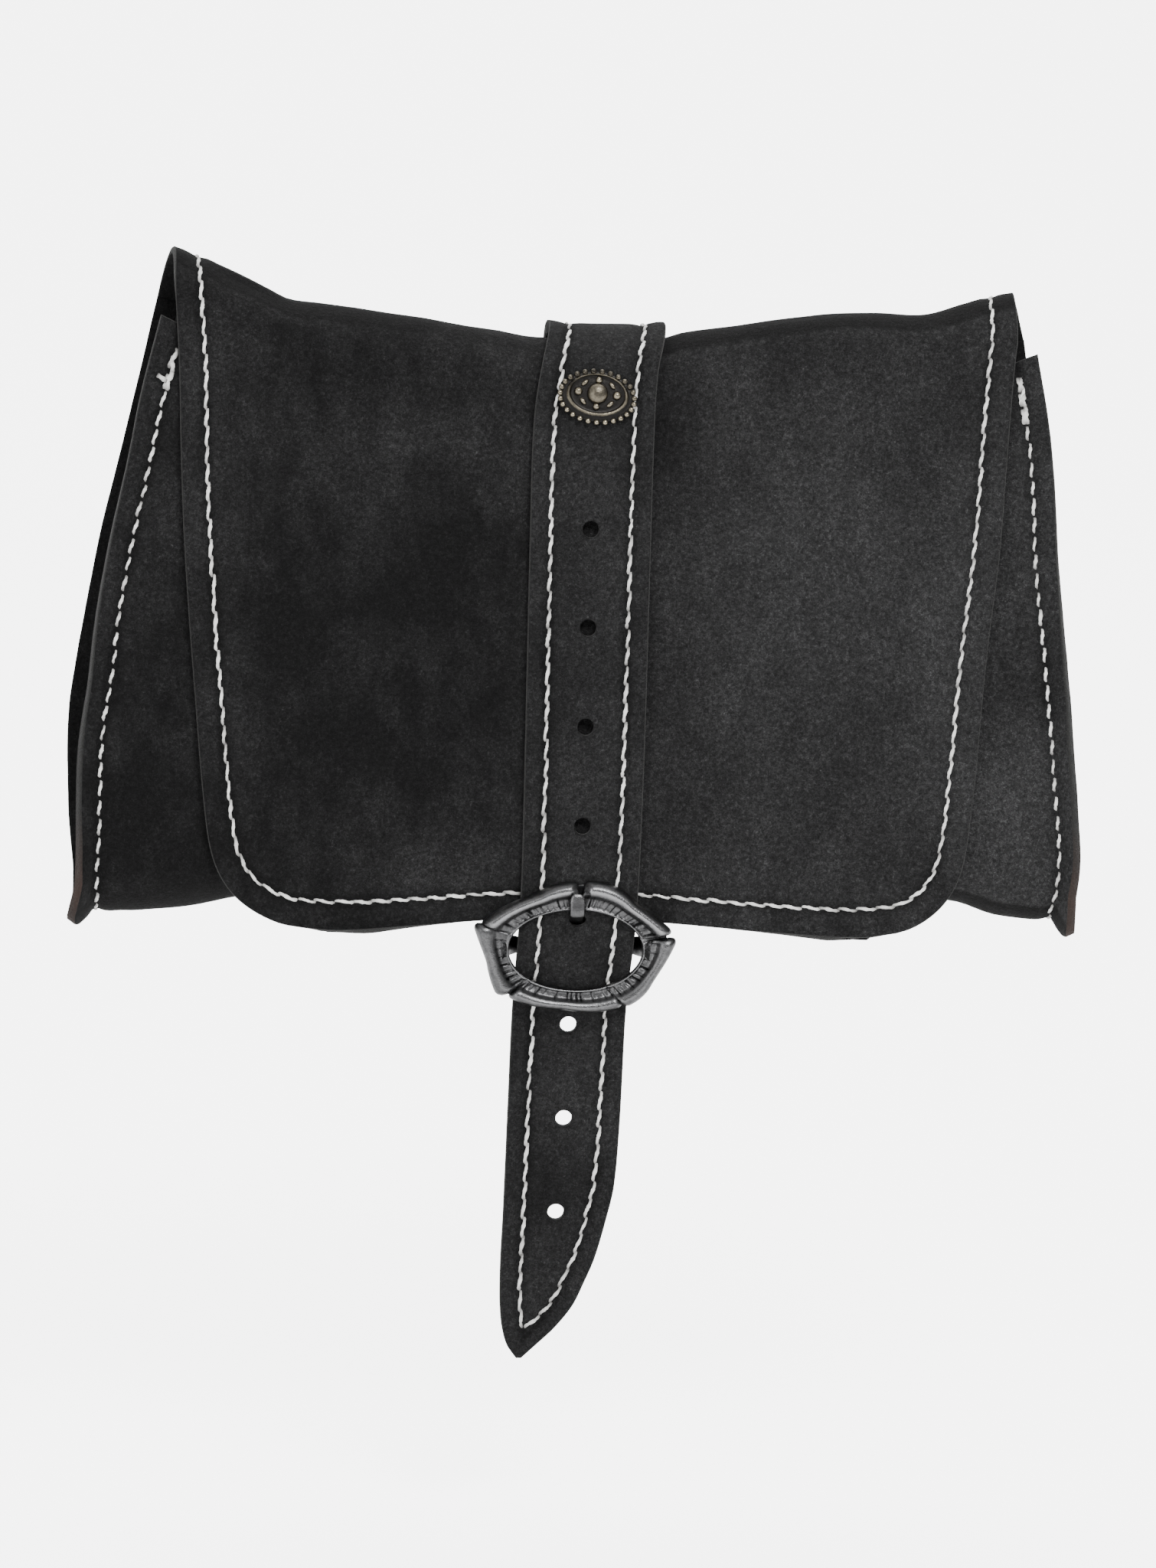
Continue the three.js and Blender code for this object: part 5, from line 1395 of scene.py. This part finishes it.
for k in range(BEADS):
    turn = 2 * math.pi * (k + 0.5) / BEADS
    # The lower beads are made brighter than the upper ones: partly wear, partly a painted highlight where
    # the light falls.
    rubbed_and_lit = 0.1 - 0.55 * math.sin(turn)
    dome(stud_half[0] * math.cos(turn), stud_half[1] * math.sin(turn), 0.6, BEAD_SIZE, 0.65, shine=rubbed_and_lit)
dome(0, 0.9, 0.6, 1.1 * STUD_BOSS, 1.9, shine=-0.15)
for k in range(PELLETS):
    turn = 2 * math.pi * k / PELLETS
    x, y = 0.52 * stud_half[0] * math.cos(turn), 0.52 * stud_half[1] * math.sin(turn) + 0.9
    if k % 2:
        dome(x, y, 0.6, 1.2, 0.7, stretch=1.9, lean=turn + math.pi / 2, shine=0.1)
    else:
        dome(x, y, 0.6, PELLET_SIZE if k % 4 == 0 else 0.85 * PELLET_SIZE, 1.1, shine=0.35)

# %% [markdown]
# ## Setting the stud
#
# The stud's seat is worked out from the strap: one point under the fold and one at it give the
# place and the lean. A post goes through strap and flap, and a disc inside holds it.

# %% Set the stud on the strap
POST_SIZE, BACK_DISC, BACK_DISC_THICK = 2.4, 8.0, 1.0
post_length = STRAP_LEATHER + LEATHER + STRAP_RISE + 4 * GAP
for radius, top, bottom in ((POST_SIZE / 2, 0.3, -post_length - 0.2),
                            (BACK_DISC / 2, -post_length, -post_length - BACK_DISC_THICK)):
    turns = np.linspace(0, 2 * math.pi, 32, endpoint=False)
    ring = np.stack([radius * np.cos(turns), radius * np.sin(turns)], 1)
    rows = [np.column_stack([ring, np.full(32, z)]) for z in (top, bottom)]
    add_grid(np.array(rows), np.zeros((2, 32)))
under_fold = strap_middle(TOP_ROW)
at_fold = strap_middle(BACK_TOP)
at_fold[1] = -2 * FOLD_RADIUS - GAP - STRAP_LEATHER / 2
seat = mix(under_fold, at_fold, (HEIGHT - STUD_DROP - TOP_ROW) / (BACK_TOP - TOP_ROW))
lean = math.atan2(at_fold[1] - under_fold[1], BACK_TOP - TOP_ROW)
face = np.array([0, -math.cos(lean), math.sin(lean)])
stud_base = seat + face * (STRAP_LEATHER / 2 + 2 * GAP)
flat = np.concatenate(parts["points"])
c, s = math.cos(STUD_TURN), math.sin(STUD_TURN)
x, y = flat[:, 0] * c - flat[:, 1] * s, flat[:, 0] * s + flat[:, 1] * c
up = np.array([0, math.sin(lean), math.cos(lean)])
stud_points = stud_base + x[:, None] * np.array([1, 0, 0]) + y[:, None] * up + flat[:, 2:] * face
stud_piece = cast_piece("stud_cast", stud_points)
print("stud lean, degrees:", round(math.degrees(lean), 1))

# %% [markdown]
# ## Building materials from nodes
#
# Effects that several materials share are node groups. A group puts out only colours and numbers,
# and each material places it with its own values and keeps its own shader. A few small helpers
# keep the node code short: each adds one node or a pair, fills its sockets with links or numbers,
# and gives back what comes out. The same nodes could be placed by hand in the shader editor.

# %% Node helpers


def math_node(tree, operation, *values, clamp=False):
    node = tree.nodes.new("ShaderNodeMath")
    node.operation = operation
    node.use_clamp = clamp
    for k, value in enumerate(values):
        if isinstance(value, bpy.types.NodeSocket):
            tree.links.new(value, node.inputs[k])
        else:
            node.inputs[k].default_value = value
    return node.outputs[0]


def colour_mix(tree, share, first, second):
    node = tree.nodes.new("ShaderNodeMix")
    node.data_type = "RGBA"
    for socket, value in ((node.inputs[0], share), (node.inputs[6], first), (node.inputs[7], second)):
        if isinstance(value, bpy.types.NodeSocket):
            tree.links.new(value, socket)
        else:
            socket.default_value = value
    return node.outputs[2]


def new_group(name, inputs, outputs):
    group = bpy.data.node_groups.new(name, "ShaderNodeTree")
    for socket_name, kind, default in inputs:
        socket = group.interface.new_socket(socket_name, in_out="INPUT", socket_type=kind)
        socket.default_value = default
    for socket_name, kind in outputs:
        group.interface.new_socket(socket_name, in_out="OUTPUT", socket_type=kind)
    return group, group.nodes.new("NodeGroupInput"), group.nodes.new("NodeGroupOutput")


def place_group(tree, group, **given):
    node = tree.nodes.new("ShaderNodeGroup")
    node.node_tree = group
    for name, value in given.items():
        socket = node.inputs[name.replace("_", " ")]
        if isinstance(value, bpy.types.NodeSocket):
            tree.links.new(value, socket)
        else:
            socket.default_value = value
    return node


def noise_node(tree, where, per_mm, detail=2.0, roughness=0.5, distortion=0.0):
    node = tree.nodes.new("ShaderNodeTexNoise")
    tree.links.new(where, node.inputs["Vector"])
    node.inputs["Scale"].default_value = per_mm
    node.inputs["Detail"].default_value = detail
    node.inputs["Roughness"].default_value = roughness
    node.inputs["Distortion"].default_value = distortion
    return node.outputs[0]


def vary(tree, value, noise_value, weight, clamp=False):
    """A value moved up and down by a noise, counted from the middle of the noise."""
    swing = math_node(tree, "SUBTRACT", noise_value, 0.5)
    return math_node(tree, "MULTIPLY_ADD", swing, weight, value, clamp=clamp)


def millimetres(tree, stretch=(1, 1, 1)):
    """The place on the object, in millimetres."""
    place = tree.nodes.new("ShaderNodeTexCoord").outputs["Object"]
    scale = tree.nodes.new("ShaderNodeVectorMath")
    scale.operation = "MULTIPLY"
    tree.links.new(place, scale.inputs[0])
    scale.inputs[1].default_value = [1000 * s for s in stretch]
    return scale.outputs[0]


# %% [markdown]
# ## Suede
#
# Three scales make suede: patches of brushed nap a few centimetres wide, clumps of fibre about a
# millimetre wide, and the single fibres, which are finer still. All three lighten and darken the
# colour. The two finer ones multiply it through an exponential, so that light fibres stand out
# from the dark ones on any patch, and they also raise the surface. Along a seam the leather is
# darker, partly as pressed leather and partly as painted shade in the stitch valley. The sheen is
# set on the shader, since it is the same all over. A picture of suede would show where it
# repeats, and noise doesn't.

# %% Node group for suede
FLOAT, COLOUR = "NodeSocketFloat", "NodeSocketColor"
suede_group, given, out = new_group(
    "suede",
    [("Dark", COLOUR, (0.01, 0.01, 0.01, 1)), ("Light", COLOUR, (0.05, 0.05, 0.05, 1)),
     ("Nap", FLOAT, 0.0), ("Seam", FLOAT, 9.0), ("Patchiness", FLOAT, 1.0), ("Base Tone", FLOAT, 0.4)],
    [("Color", COLOUR), ("Roughness", FLOAT), ("Height", FLOAT)],
)
place = millimetres(suede_group)
patches = noise_node(suede_group, place, 0.04, detail=2.0, roughness=0.5, distortion=0.3)
strokes = noise_node(suede_group, millimetres(suede_group, (1, 1, 0.5)), 0.16, detail=3.0, roughness=0.6)
clumps = noise_node(suede_group, place, 1.0, detail=3.0, roughness=0.7, distortion=0.4)
fibres = noise_node(suede_group, place, 2.7, detail=3.0, roughness=0.8, distortion=1.0)
# The nap value brings in brushed patches and, on the body, painted light and shade.
tone = vary(suede_group, given.outputs["Nap"], patches, 0.6)
tone = vary(suede_group, tone, strokes, 0.7)
tone = math_node(suede_group, "MULTIPLY", tone, given.outputs["Patchiness"])
tone = math_node(suede_group, "ADD", tone, given.outputs["Base Tone"])
# Near the stitch line the colour is darkened: partly pressed leather, partly painted shade in the stitch
# valley.
seam_press_and_shade = math_node(suede_group, "DIVIDE", given.outputs["Seam"], 1.5)
seam_press_and_shade = math_node(suede_group, "MULTIPLY", seam_press_and_shade, seam_press_and_shade)
seam_press_and_shade = math_node(suede_group, "EXPONENT", math_node(suede_group, "MULTIPLY", seam_press_and_shade, -1.0))
tone = math_node(suede_group, "MULTIPLY_ADD", seam_press_and_shade, -0.1, tone)
tone = math_node(suede_group, "MAXIMUM", tone, 0.06)
grain = vary(suede_group, vary(suede_group, 0.0, clumps, 3.2), fibres, 4.8)
grain = math_node(suede_group, "EXPONENT", grain)
tone = math_node(suede_group, "MULTIPLY", tone, grain, clamp=True)
links = suede_group.links
links.new(colour_mix(suede_group, tone, given.outputs["Dark"], given.outputs["Light"]), out.inputs["Color"])
rough = math_node(suede_group, "MULTIPLY_ADD", clumps, 0.12, 0.86, clamp=True)
links.new(rough, out.inputs["Roughness"])
height = math_node(suede_group, "MULTIPLY", clumps, 0.75)
height = math_node(suede_group, "MULTIPLY_ADD", fibres, 0.45, height)
links.new(height, out.inputs["Height"])

# %% [markdown]
# ## Two suede materials
#
# The body and the strap are cut from different hides, so each has its own values. The value kept
# on the mesh for the nap says where it was brushed light or dark, and on the body it also holds
# painted light and shade. Two materials that place one group are easier to keep alike than two
# copies of the nodes.

# %% Suede of the body and of the strap


def start_material(name):
    material = bpy.data.materials.new(name)
    material.use_nodes = True
    tree = material.node_tree
    shader = tree.nodes["Principled BSDF"]
    return material, tree, shader


def value_of(tree, name):
    node = tree.nodes.new("ShaderNodeAttribute")
    node.attribute_name = name
    return node.outputs["Fac"]


def bump_into(tree, shader, height, depth_mm, strength=1.0):
    bump = tree.nodes.new("ShaderNodeBump")
    bump.inputs["Distance"].default_value = depth_mm * MM
    bump.inputs["Strength"].default_value = strength
    tree.links.new(height, bump.inputs["Height"])
    tree.links.new(bump.outputs["Normal"], shader.inputs["Normal"])


def suede_material(name, dark, light, tone, patchiness, sheen):
    material, tree, shader = start_material(name)
    nap_and_shade = place_group(
        tree, suede_group, Dark=(*dark, 1), Light=(*light, 1), Nap=value_of(tree, "nap_and_shade"),
        Seam=value_of(tree, "seam"), Patchiness=patchiness, Base_Tone=tone,
    )
    tree.links.new(nap_and_shade.outputs["Color"], shader.inputs["Base Color"])
    tree.links.new(nap_and_shade.outputs["Roughness"], shader.inputs["Roughness"])
    bump_into(tree, shader, nap_and_shade.outputs["Height"], 0.7)
    shader.inputs["Specular IOR Level"].default_value = 0.1
    shader.inputs["Sheen Weight"].default_value = sheen
    shader.inputs["Sheen Roughness"].default_value = 0.55
    shader.inputs["Sheen Tint"].default_value = (0.55, 0.55, 0.55, 1)
    return material


SUEDE_DARK, SUEDE_LIGHT = (0.0006, 0.0006, 0.0006), (0.076, 0.076, 0.0774)
body_suede = suede_material("body_suede", SUEDE_DARK, SUEDE_LIGHT, tone=0.155, patchiness=0.3, sheen=0.02)
strap_suede = suede_material("strap_suede", SUEDE_DARK, SUEDE_LIGHT, tone=0.17, patchiness=0.25, sheen=0.02)

# %% [markdown]
# ## The cut edge
#
# Dye doesn't reach the middle of the hide, so a cut edge is a little lighter and browner than
# the face, and fluffy with loose fibres. The brown shows most at the low corners, where the edges
# have been rubbed. It could be a mask in the suede, but a slot of its own needs no mask.

# %% Cut edge of the leather
edge_suede, tree, shader = start_material("cut_edge")
place = millimetres(tree)
fluff = noise_node(tree, place, 2.6, detail=3.0, roughness=0.75)
worn = noise_node(tree, place, 0.08, detail=2.0)
height_here = tree.nodes.new("ShaderNodeSeparateXYZ")
tree.links.new(place, height_here.inputs[0])
low_down = math_node(tree, "MULTIPLY_ADD", height_here.outputs["Z"], -0.05, -4.9, clamp=True)
far_out = math_node(tree, "ABSOLUTE", height_here.outputs["X"])
far_out = math_node(tree, "MULTIPLY_ADD", far_out, 0.08, -8.0, clamp=True)
grey = colour_mix(tree, fluff, (0.004, 0.004, 0.004, 1), (0.036, 0.036, 0.035, 1))
brown = colour_mix(tree, fluff, (0.01, 0.007, 0.006, 1), (0.06, 0.041, 0.035, 1))
rubbed_and_lit = math_node(tree, "MULTIPLY", low_down, math_node(tree, "MULTIPLY", far_out, worn))
rubbed_and_lit = math_node(tree, "MULTIPLY", rubbed_and_lit, 1.8, clamp=True)
tree.links.new(colour_mix(tree, rubbed_and_lit, grey, brown), shader.inputs["Base Color"])
tree.links.new(math_node(tree, "MULTIPLY_ADD", fluff, 0.1, 0.88), shader.inputs["Roughness"])
bump_into(tree, shader, fluff, 0.35)
shader.inputs["Specular IOR Level"].default_value = 0.1
shader.inputs["Sheen Weight"].default_value = 0.08

# %% [markdown]
# ## Waxed thread
#
# The thread is off-white linen. Wax and handling leave it a little uneven, so each stitch has its
# own tone, and a fine noise stands for the fibres of its plies. The tone also paints shade at both
# ends of each stitch, where it dives into the leather, and a lighter middle as a highlight. It is
# kept at the points, so that one material does for all the stitches.

# %% Thread
thread_white, tree, shader = start_material("thread")
place = millimetres(tree)
lint = noise_node(tree, place, 4.5, detail=3.0, roughness=0.7)
tone = math_node(tree, "SUBTRACT", value_of(tree, "tone"), 0.55)
tone = math_node(tree, "MULTIPLY_ADD", lint, 0.9, tone, clamp=True)
linen = colour_mix(tree, tone, (0.12, 0.117, 0.113, 1), (0.95, 0.94, 0.91, 1))
tree.links.new(linen, shader.inputs["Base Color"])
tree.links.new(math_node(tree, "MULTIPLY_ADD", lint, 0.2, 0.6), shader.inputs["Roughness"])
bump_into(tree, shader, lint, 0.18)
shader.inputs["Specular IOR Level"].default_value = 0.3

# %% [markdown]
# ## Old metal
#
# The castings are dark where the patina lies in the engraving, and bare and bright on the ridges
# that cloth and hands have rubbed. The value kept on the mesh under the name bright says which is
# which, and it also carries painted highlights: on the two top arms, the lip of the opening, the
# tongue's end and edges, the lower beads and the lower right of the stud's rim. Noise breaks up
# its border. Fine scratches roughen the bare metal. Blender can find ridges by itself, but what
# it finds depends on how fine the mesh is, and a kept value doesn't.

# %% Node group for worn castings
metal_group, given, out = new_group(
    "worn_casting",
    [("Patina", COLOUR, (0.03, 0.03, 0.03, 1)), ("Bare", COLOUR, (0.4, 0.4, 0.4, 1)), ("Wear", FLOAT, 0.0),
     ("Polish", FLOAT, 0.3)],
    [("Color", COLOUR), ("Roughness", FLOAT), ("Height", FLOAT)],
)
place = millimetres(metal_group)
cloud = noise_node(metal_group, place, 0.35, detail=4.0, roughness=0.65)
grit = noise_node(metal_group, place, 2.4, detail=3.0, roughness=0.7)
scratch = noise_node(metal_group, millimetres(metal_group, (1, 1, 5)), 1.2, detail=2.0, distortion=0.4)
wear_and_highlight = math_node(metal_group, "MULTIPLY_ADD", given.outputs["Wear"], 0.55, 0.3)
wear_and_highlight = vary(metal_group, wear_and_highlight, cloud, 0.6)
wear_and_highlight = vary(metal_group, wear_and_highlight, grit, 0.5, clamp=True)
links = metal_group.links
shade = colour_mix(metal_group, wear_and_highlight, given.outputs["Patina"], given.outputs["Bare"])
links.new(shade, out.inputs["Color"])
rough = math_node(metal_group, "MULTIPLY_ADD", wear_and_highlight, -0.3, 0.62)
rough = math_node(metal_group, "MULTIPLY_ADD", given.outputs["Polish"], -0.3, rough)
rough = math_node(metal_group, "MULTIPLY_ADD", scratch, 0.14, rough, clamp=True)
links.new(rough, out.inputs["Roughness"])
height = math_node(metal_group, "MULTIPLY", cloud, 0.6)
height = math_node(metal_group, "MULTIPLY_ADD", grit, 0.6, height)
links.new(height, out.inputs["Height"])

# %% [markdown]
# ## Two metals
#
# The buckle is a grey alloy like pewter, and the stud has a warm tint like old brass. Both place
# the same group with their own dark and bare colours, and the metallic value stays on the shader.

# %% Pewter of the buckle and brass of the stud


def metal_material(name, patina, bare, polish):
    material, tree, shader = start_material(name)
    cast = place_group(
        tree, metal_group, Patina=(*patina, 1), Bare=(*bare, 1), Wear=value_of(tree, "bright"), Polish=polish
    )
    tree.links.new(cast.outputs["Color"], shader.inputs["Base Color"])
    tree.links.new(cast.outputs["Roughness"], shader.inputs["Roughness"])
    shader.inputs["Metallic"].default_value = 1.0
    bump_into(tree, shader, cast.outputs["Height"], 0.12)
    return material


buckle_metal = metal_material("buckle_metal", (0.01, 0.01, 0.0104), (0.26, 0.26, 0.265), 0.9)
stud_metal = metal_material("stud_metal", (0.02, 0.019, 0.018), (0.44, 0.39, 0.29), 1.0)

# %% [markdown]
# ## Dressing the pieces
#
# Each piece gets its materials, hides the solid it stands for and rides on the one body of this
# object. The rows of thread stand for no solid: they are extra.

# %% Materials and solids


def dress(piece, materials, node=None):
    mesh = piece.data
    while len(mesh.materials) < len(materials):
        mesh.materials.append(None)
    for k, material in enumerate(materials):
        mesh.materials[k] = material
    if node:
        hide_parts(node)
    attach(piece, "root")


dress(body_piece, [body_suede, edge_suede], "body_flap")
dress(side_left, [body_suede, edge_suede], "gusset_left")
dress(side_right, [body_suede, edge_suede], "gusset_right")
dress(strap_piece, [strap_suede, edge_suede], "flap_strap")
dress(holder_piece, [strap_suede, edge_suede], "buckle_strap")
dress(frame_piece, [buckle_metal], "buckle_frame")
dress(tongue_piece, [buckle_metal], "buckle_tongue")
dress(stud_piece, [stud_metal], "concho")
for piece in (thread_flap, thread_left, thread_right, thread_strap):
    dress(piece, [thread_white])

# %% [markdown]
# ## Floor and backdrop
#
# The pouch hangs a little above a plain pale floor that curves up into a backdrop. Two large soft
# lamps and a pale surround light it evenly, as for a catalogue, and a third lamp washes the floor
# behind it. The floor glows near white for the camera alone, so it doesn't fill the shadows.

# %% Floor and backdrop
FLOOR_DEPTH = 0.045
FLOOR_NEAR, FLOOR_FAR, FLOOR_SIDE = -4.0, 2.4, 6.0
BEND_RADIUS, BACKDROP_HEIGHT = 0.8, 4.0
FLOOR_GLOW, FLOOR_WHITE = 0.3, 3.8
floor_z = solid_box[0][2] - FLOOR_DEPTH
bend = [(FLOOR_NEAR, floor_z), (FLOOR_FAR, floor_z)]
for turn in np.radians(range(10, 91, 10)):
    bend.append((FLOOR_FAR + BEND_RADIUS * math.sin(turn), floor_z + BEND_RADIUS * (1 - math.cos(turn))))
bend.append((FLOOR_FAR + BEND_RADIUS, floor_z + BACKDROP_HEIGHT))
points = [(x, y, z) for y, z in bend for x in (-FLOOR_SIDE, FLOOR_SIDE)]
faces = [(2 * k, 2 * k + 1, 2 * k + 3, 2 * k + 2) for k in range(len(bend) - 1)]
mesh = bpy.data.meshes.new("floor")
mesh.from_pydata(points, [], faces)
mesh.shade_smooth()
floor = bpy.data.objects.new("floor", mesh)
bpy.context.scene.collection.objects.link(floor)
floor_paint, tree, shader = start_material("pale_floor")
shader.inputs["Base Color"].default_value = (0.92, 0.92, 0.92, 1)
shader.inputs["Roughness"].default_value = 0.9
shader.inputs["Emission Color"].default_value = (1, 1, 1, 1)
seen = tree.nodes.new("ShaderNodeLightPath").outputs["Is Camera Ray"]
glow = math_node(tree, "MULTIPLY_ADD", seen, FLOOR_WHITE, FLOOR_GLOW)
tree.links.new(glow, shader.inputs["Emission Strength"])
mesh.materials.append(floor_paint)

# %% [markdown]
# ## A surround that is bright above
#
# Metal shows what is round it. A surround that is the same everywhere makes it look flat and
# grey, so this one is bright overhead and dim in front, like a studio with a light ceiling. The
# camera alone sees it as near white, like the floor.

# %% Light
SKY_ROUND, SKY_ABOVE, SKY_BEHIND, SKY_WHITE = 0.26, 0.9, 0.3, 4.2
world = bpy.data.worlds.new("studio")
bpy.context.scene.world = world
world.use_nodes = True
sky = world.node_tree
sky.nodes["Background"].inputs[0].default_value = (1, 1, 1, 1)
direction = sky.nodes.new("ShaderNodeSeparateXYZ")
sky.links.new(sky.nodes.new("ShaderNodeTexCoord").outputs["Generated"], direction.inputs[0])
above = math_node(sky, "MAXIMUM", direction.outputs["Z"], 0.0)
behind_it = math_node(sky, "MAXIMUM", direction.outputs["Y"], 0.0)
glow = math_node(sky, "MULTIPLY_ADD", above, SKY_ABOVE, SKY_ROUND)
glow = math_node(sky, "MULTIPLY_ADD", behind_it, SKY_BEHIND, glow)
seen = sky.nodes.new("ShaderNodeLightPath").outputs["Is Camera Ray"]
glow = math_node(sky, "MULTIPLY_ADD", seen, SKY_WHITE, glow)
sky.links.new(glow, sky.nodes["Background"].inputs[1])


def soft_lamp(name, place, target, size, power):
    lamp = bpy.data.lights.new(name, "AREA")
    lamp.shape = "RECTANGLE"
    lamp.size, lamp.size_y = size
    lamp.energy = power
    holder = bpy.data.objects.new(name, lamp)
    bpy.context.scene.collection.objects.link(holder)
    holder.location = place
    direction = Vector(target) - Vector(place)
    holder.rotation_euler = direction.to_track_quat("-Z", "Y").to_euler()


soft_lamp("key", (0.45, -1.35, 1.3), (0, 0, -0.05), (0.8, 0.45), 36)
soft_lamp("fill", (-1.3, -1.2, 0.3), (0, 0, -0.05), (1.0, 1.2), 12)
soft_lamp("wash", (0.0, 1.2, 2.4), (0, 1.6, -0.3), (3.0, 1.6), 90)

# %% [markdown]
# ## The camera
#
# The camera looks from the front, a little from above and from the left, and is tipped slightly.
# It could be placed by eye, but here its lens is worked out from its distance and from how many
# pixels of the picture one millimetre of the pouch takes.

# %% Camera
CAMERA_AZIMUTH, CAMERA_HEIGHT, CAMERA_ROLL = -4.0, 8.0, 1.2
CAMERA_DISTANCE = 1200.0
PIXELS_PER_MM = 5.2
IMAGE_HEIGHT = 2048
AIM = np.array([0.0, -45.0, 30.0])
AIM_BELOW_CENTRE = 20 / PIXELS_PER_MM
azimuth, tilt, roll = (math.radians(a) for a in (CAMERA_AZIMUTH, CAMERA_HEIGHT, CAMERA_ROLL))
backward = Vector((math.sin(azimuth) * math.cos(tilt), -math.cos(azimuth) * math.cos(tilt), math.sin(tilt)))
right = Vector((math.cos(azimuth), math.sin(azimuth), 0))
upward = backward.cross(right)
right, upward = (
    right * math.cos(roll) + upward * math.sin(roll),
    upward * math.cos(roll) - right * math.sin(roll),
)
lens = bpy.data.cameras.new("camera")
lens.sensor_fit = "VERTICAL"
lens.sensor_height = 36.0
lens.lens = 36.0 * CAMERA_DISTANCE * PIXELS_PER_MM / IMAGE_HEIGHT
lens.clip_start, lens.clip_end = 0.05, 20.0
camera = bpy.data.objects.new("camera", lens)
bpy.context.scene.collection.objects.link(camera)
spot = Vector(to_metres(AIM)) + backward * CAMERA_DISTANCE * MM + upward * AIM_BELOW_CENTRE * MM
turned = Matrix((right, upward, backward)).transposed().to_4x4()
camera.matrix_world = Matrix.Translation(spot) @ turned
bpy.context.scene.camera = camera
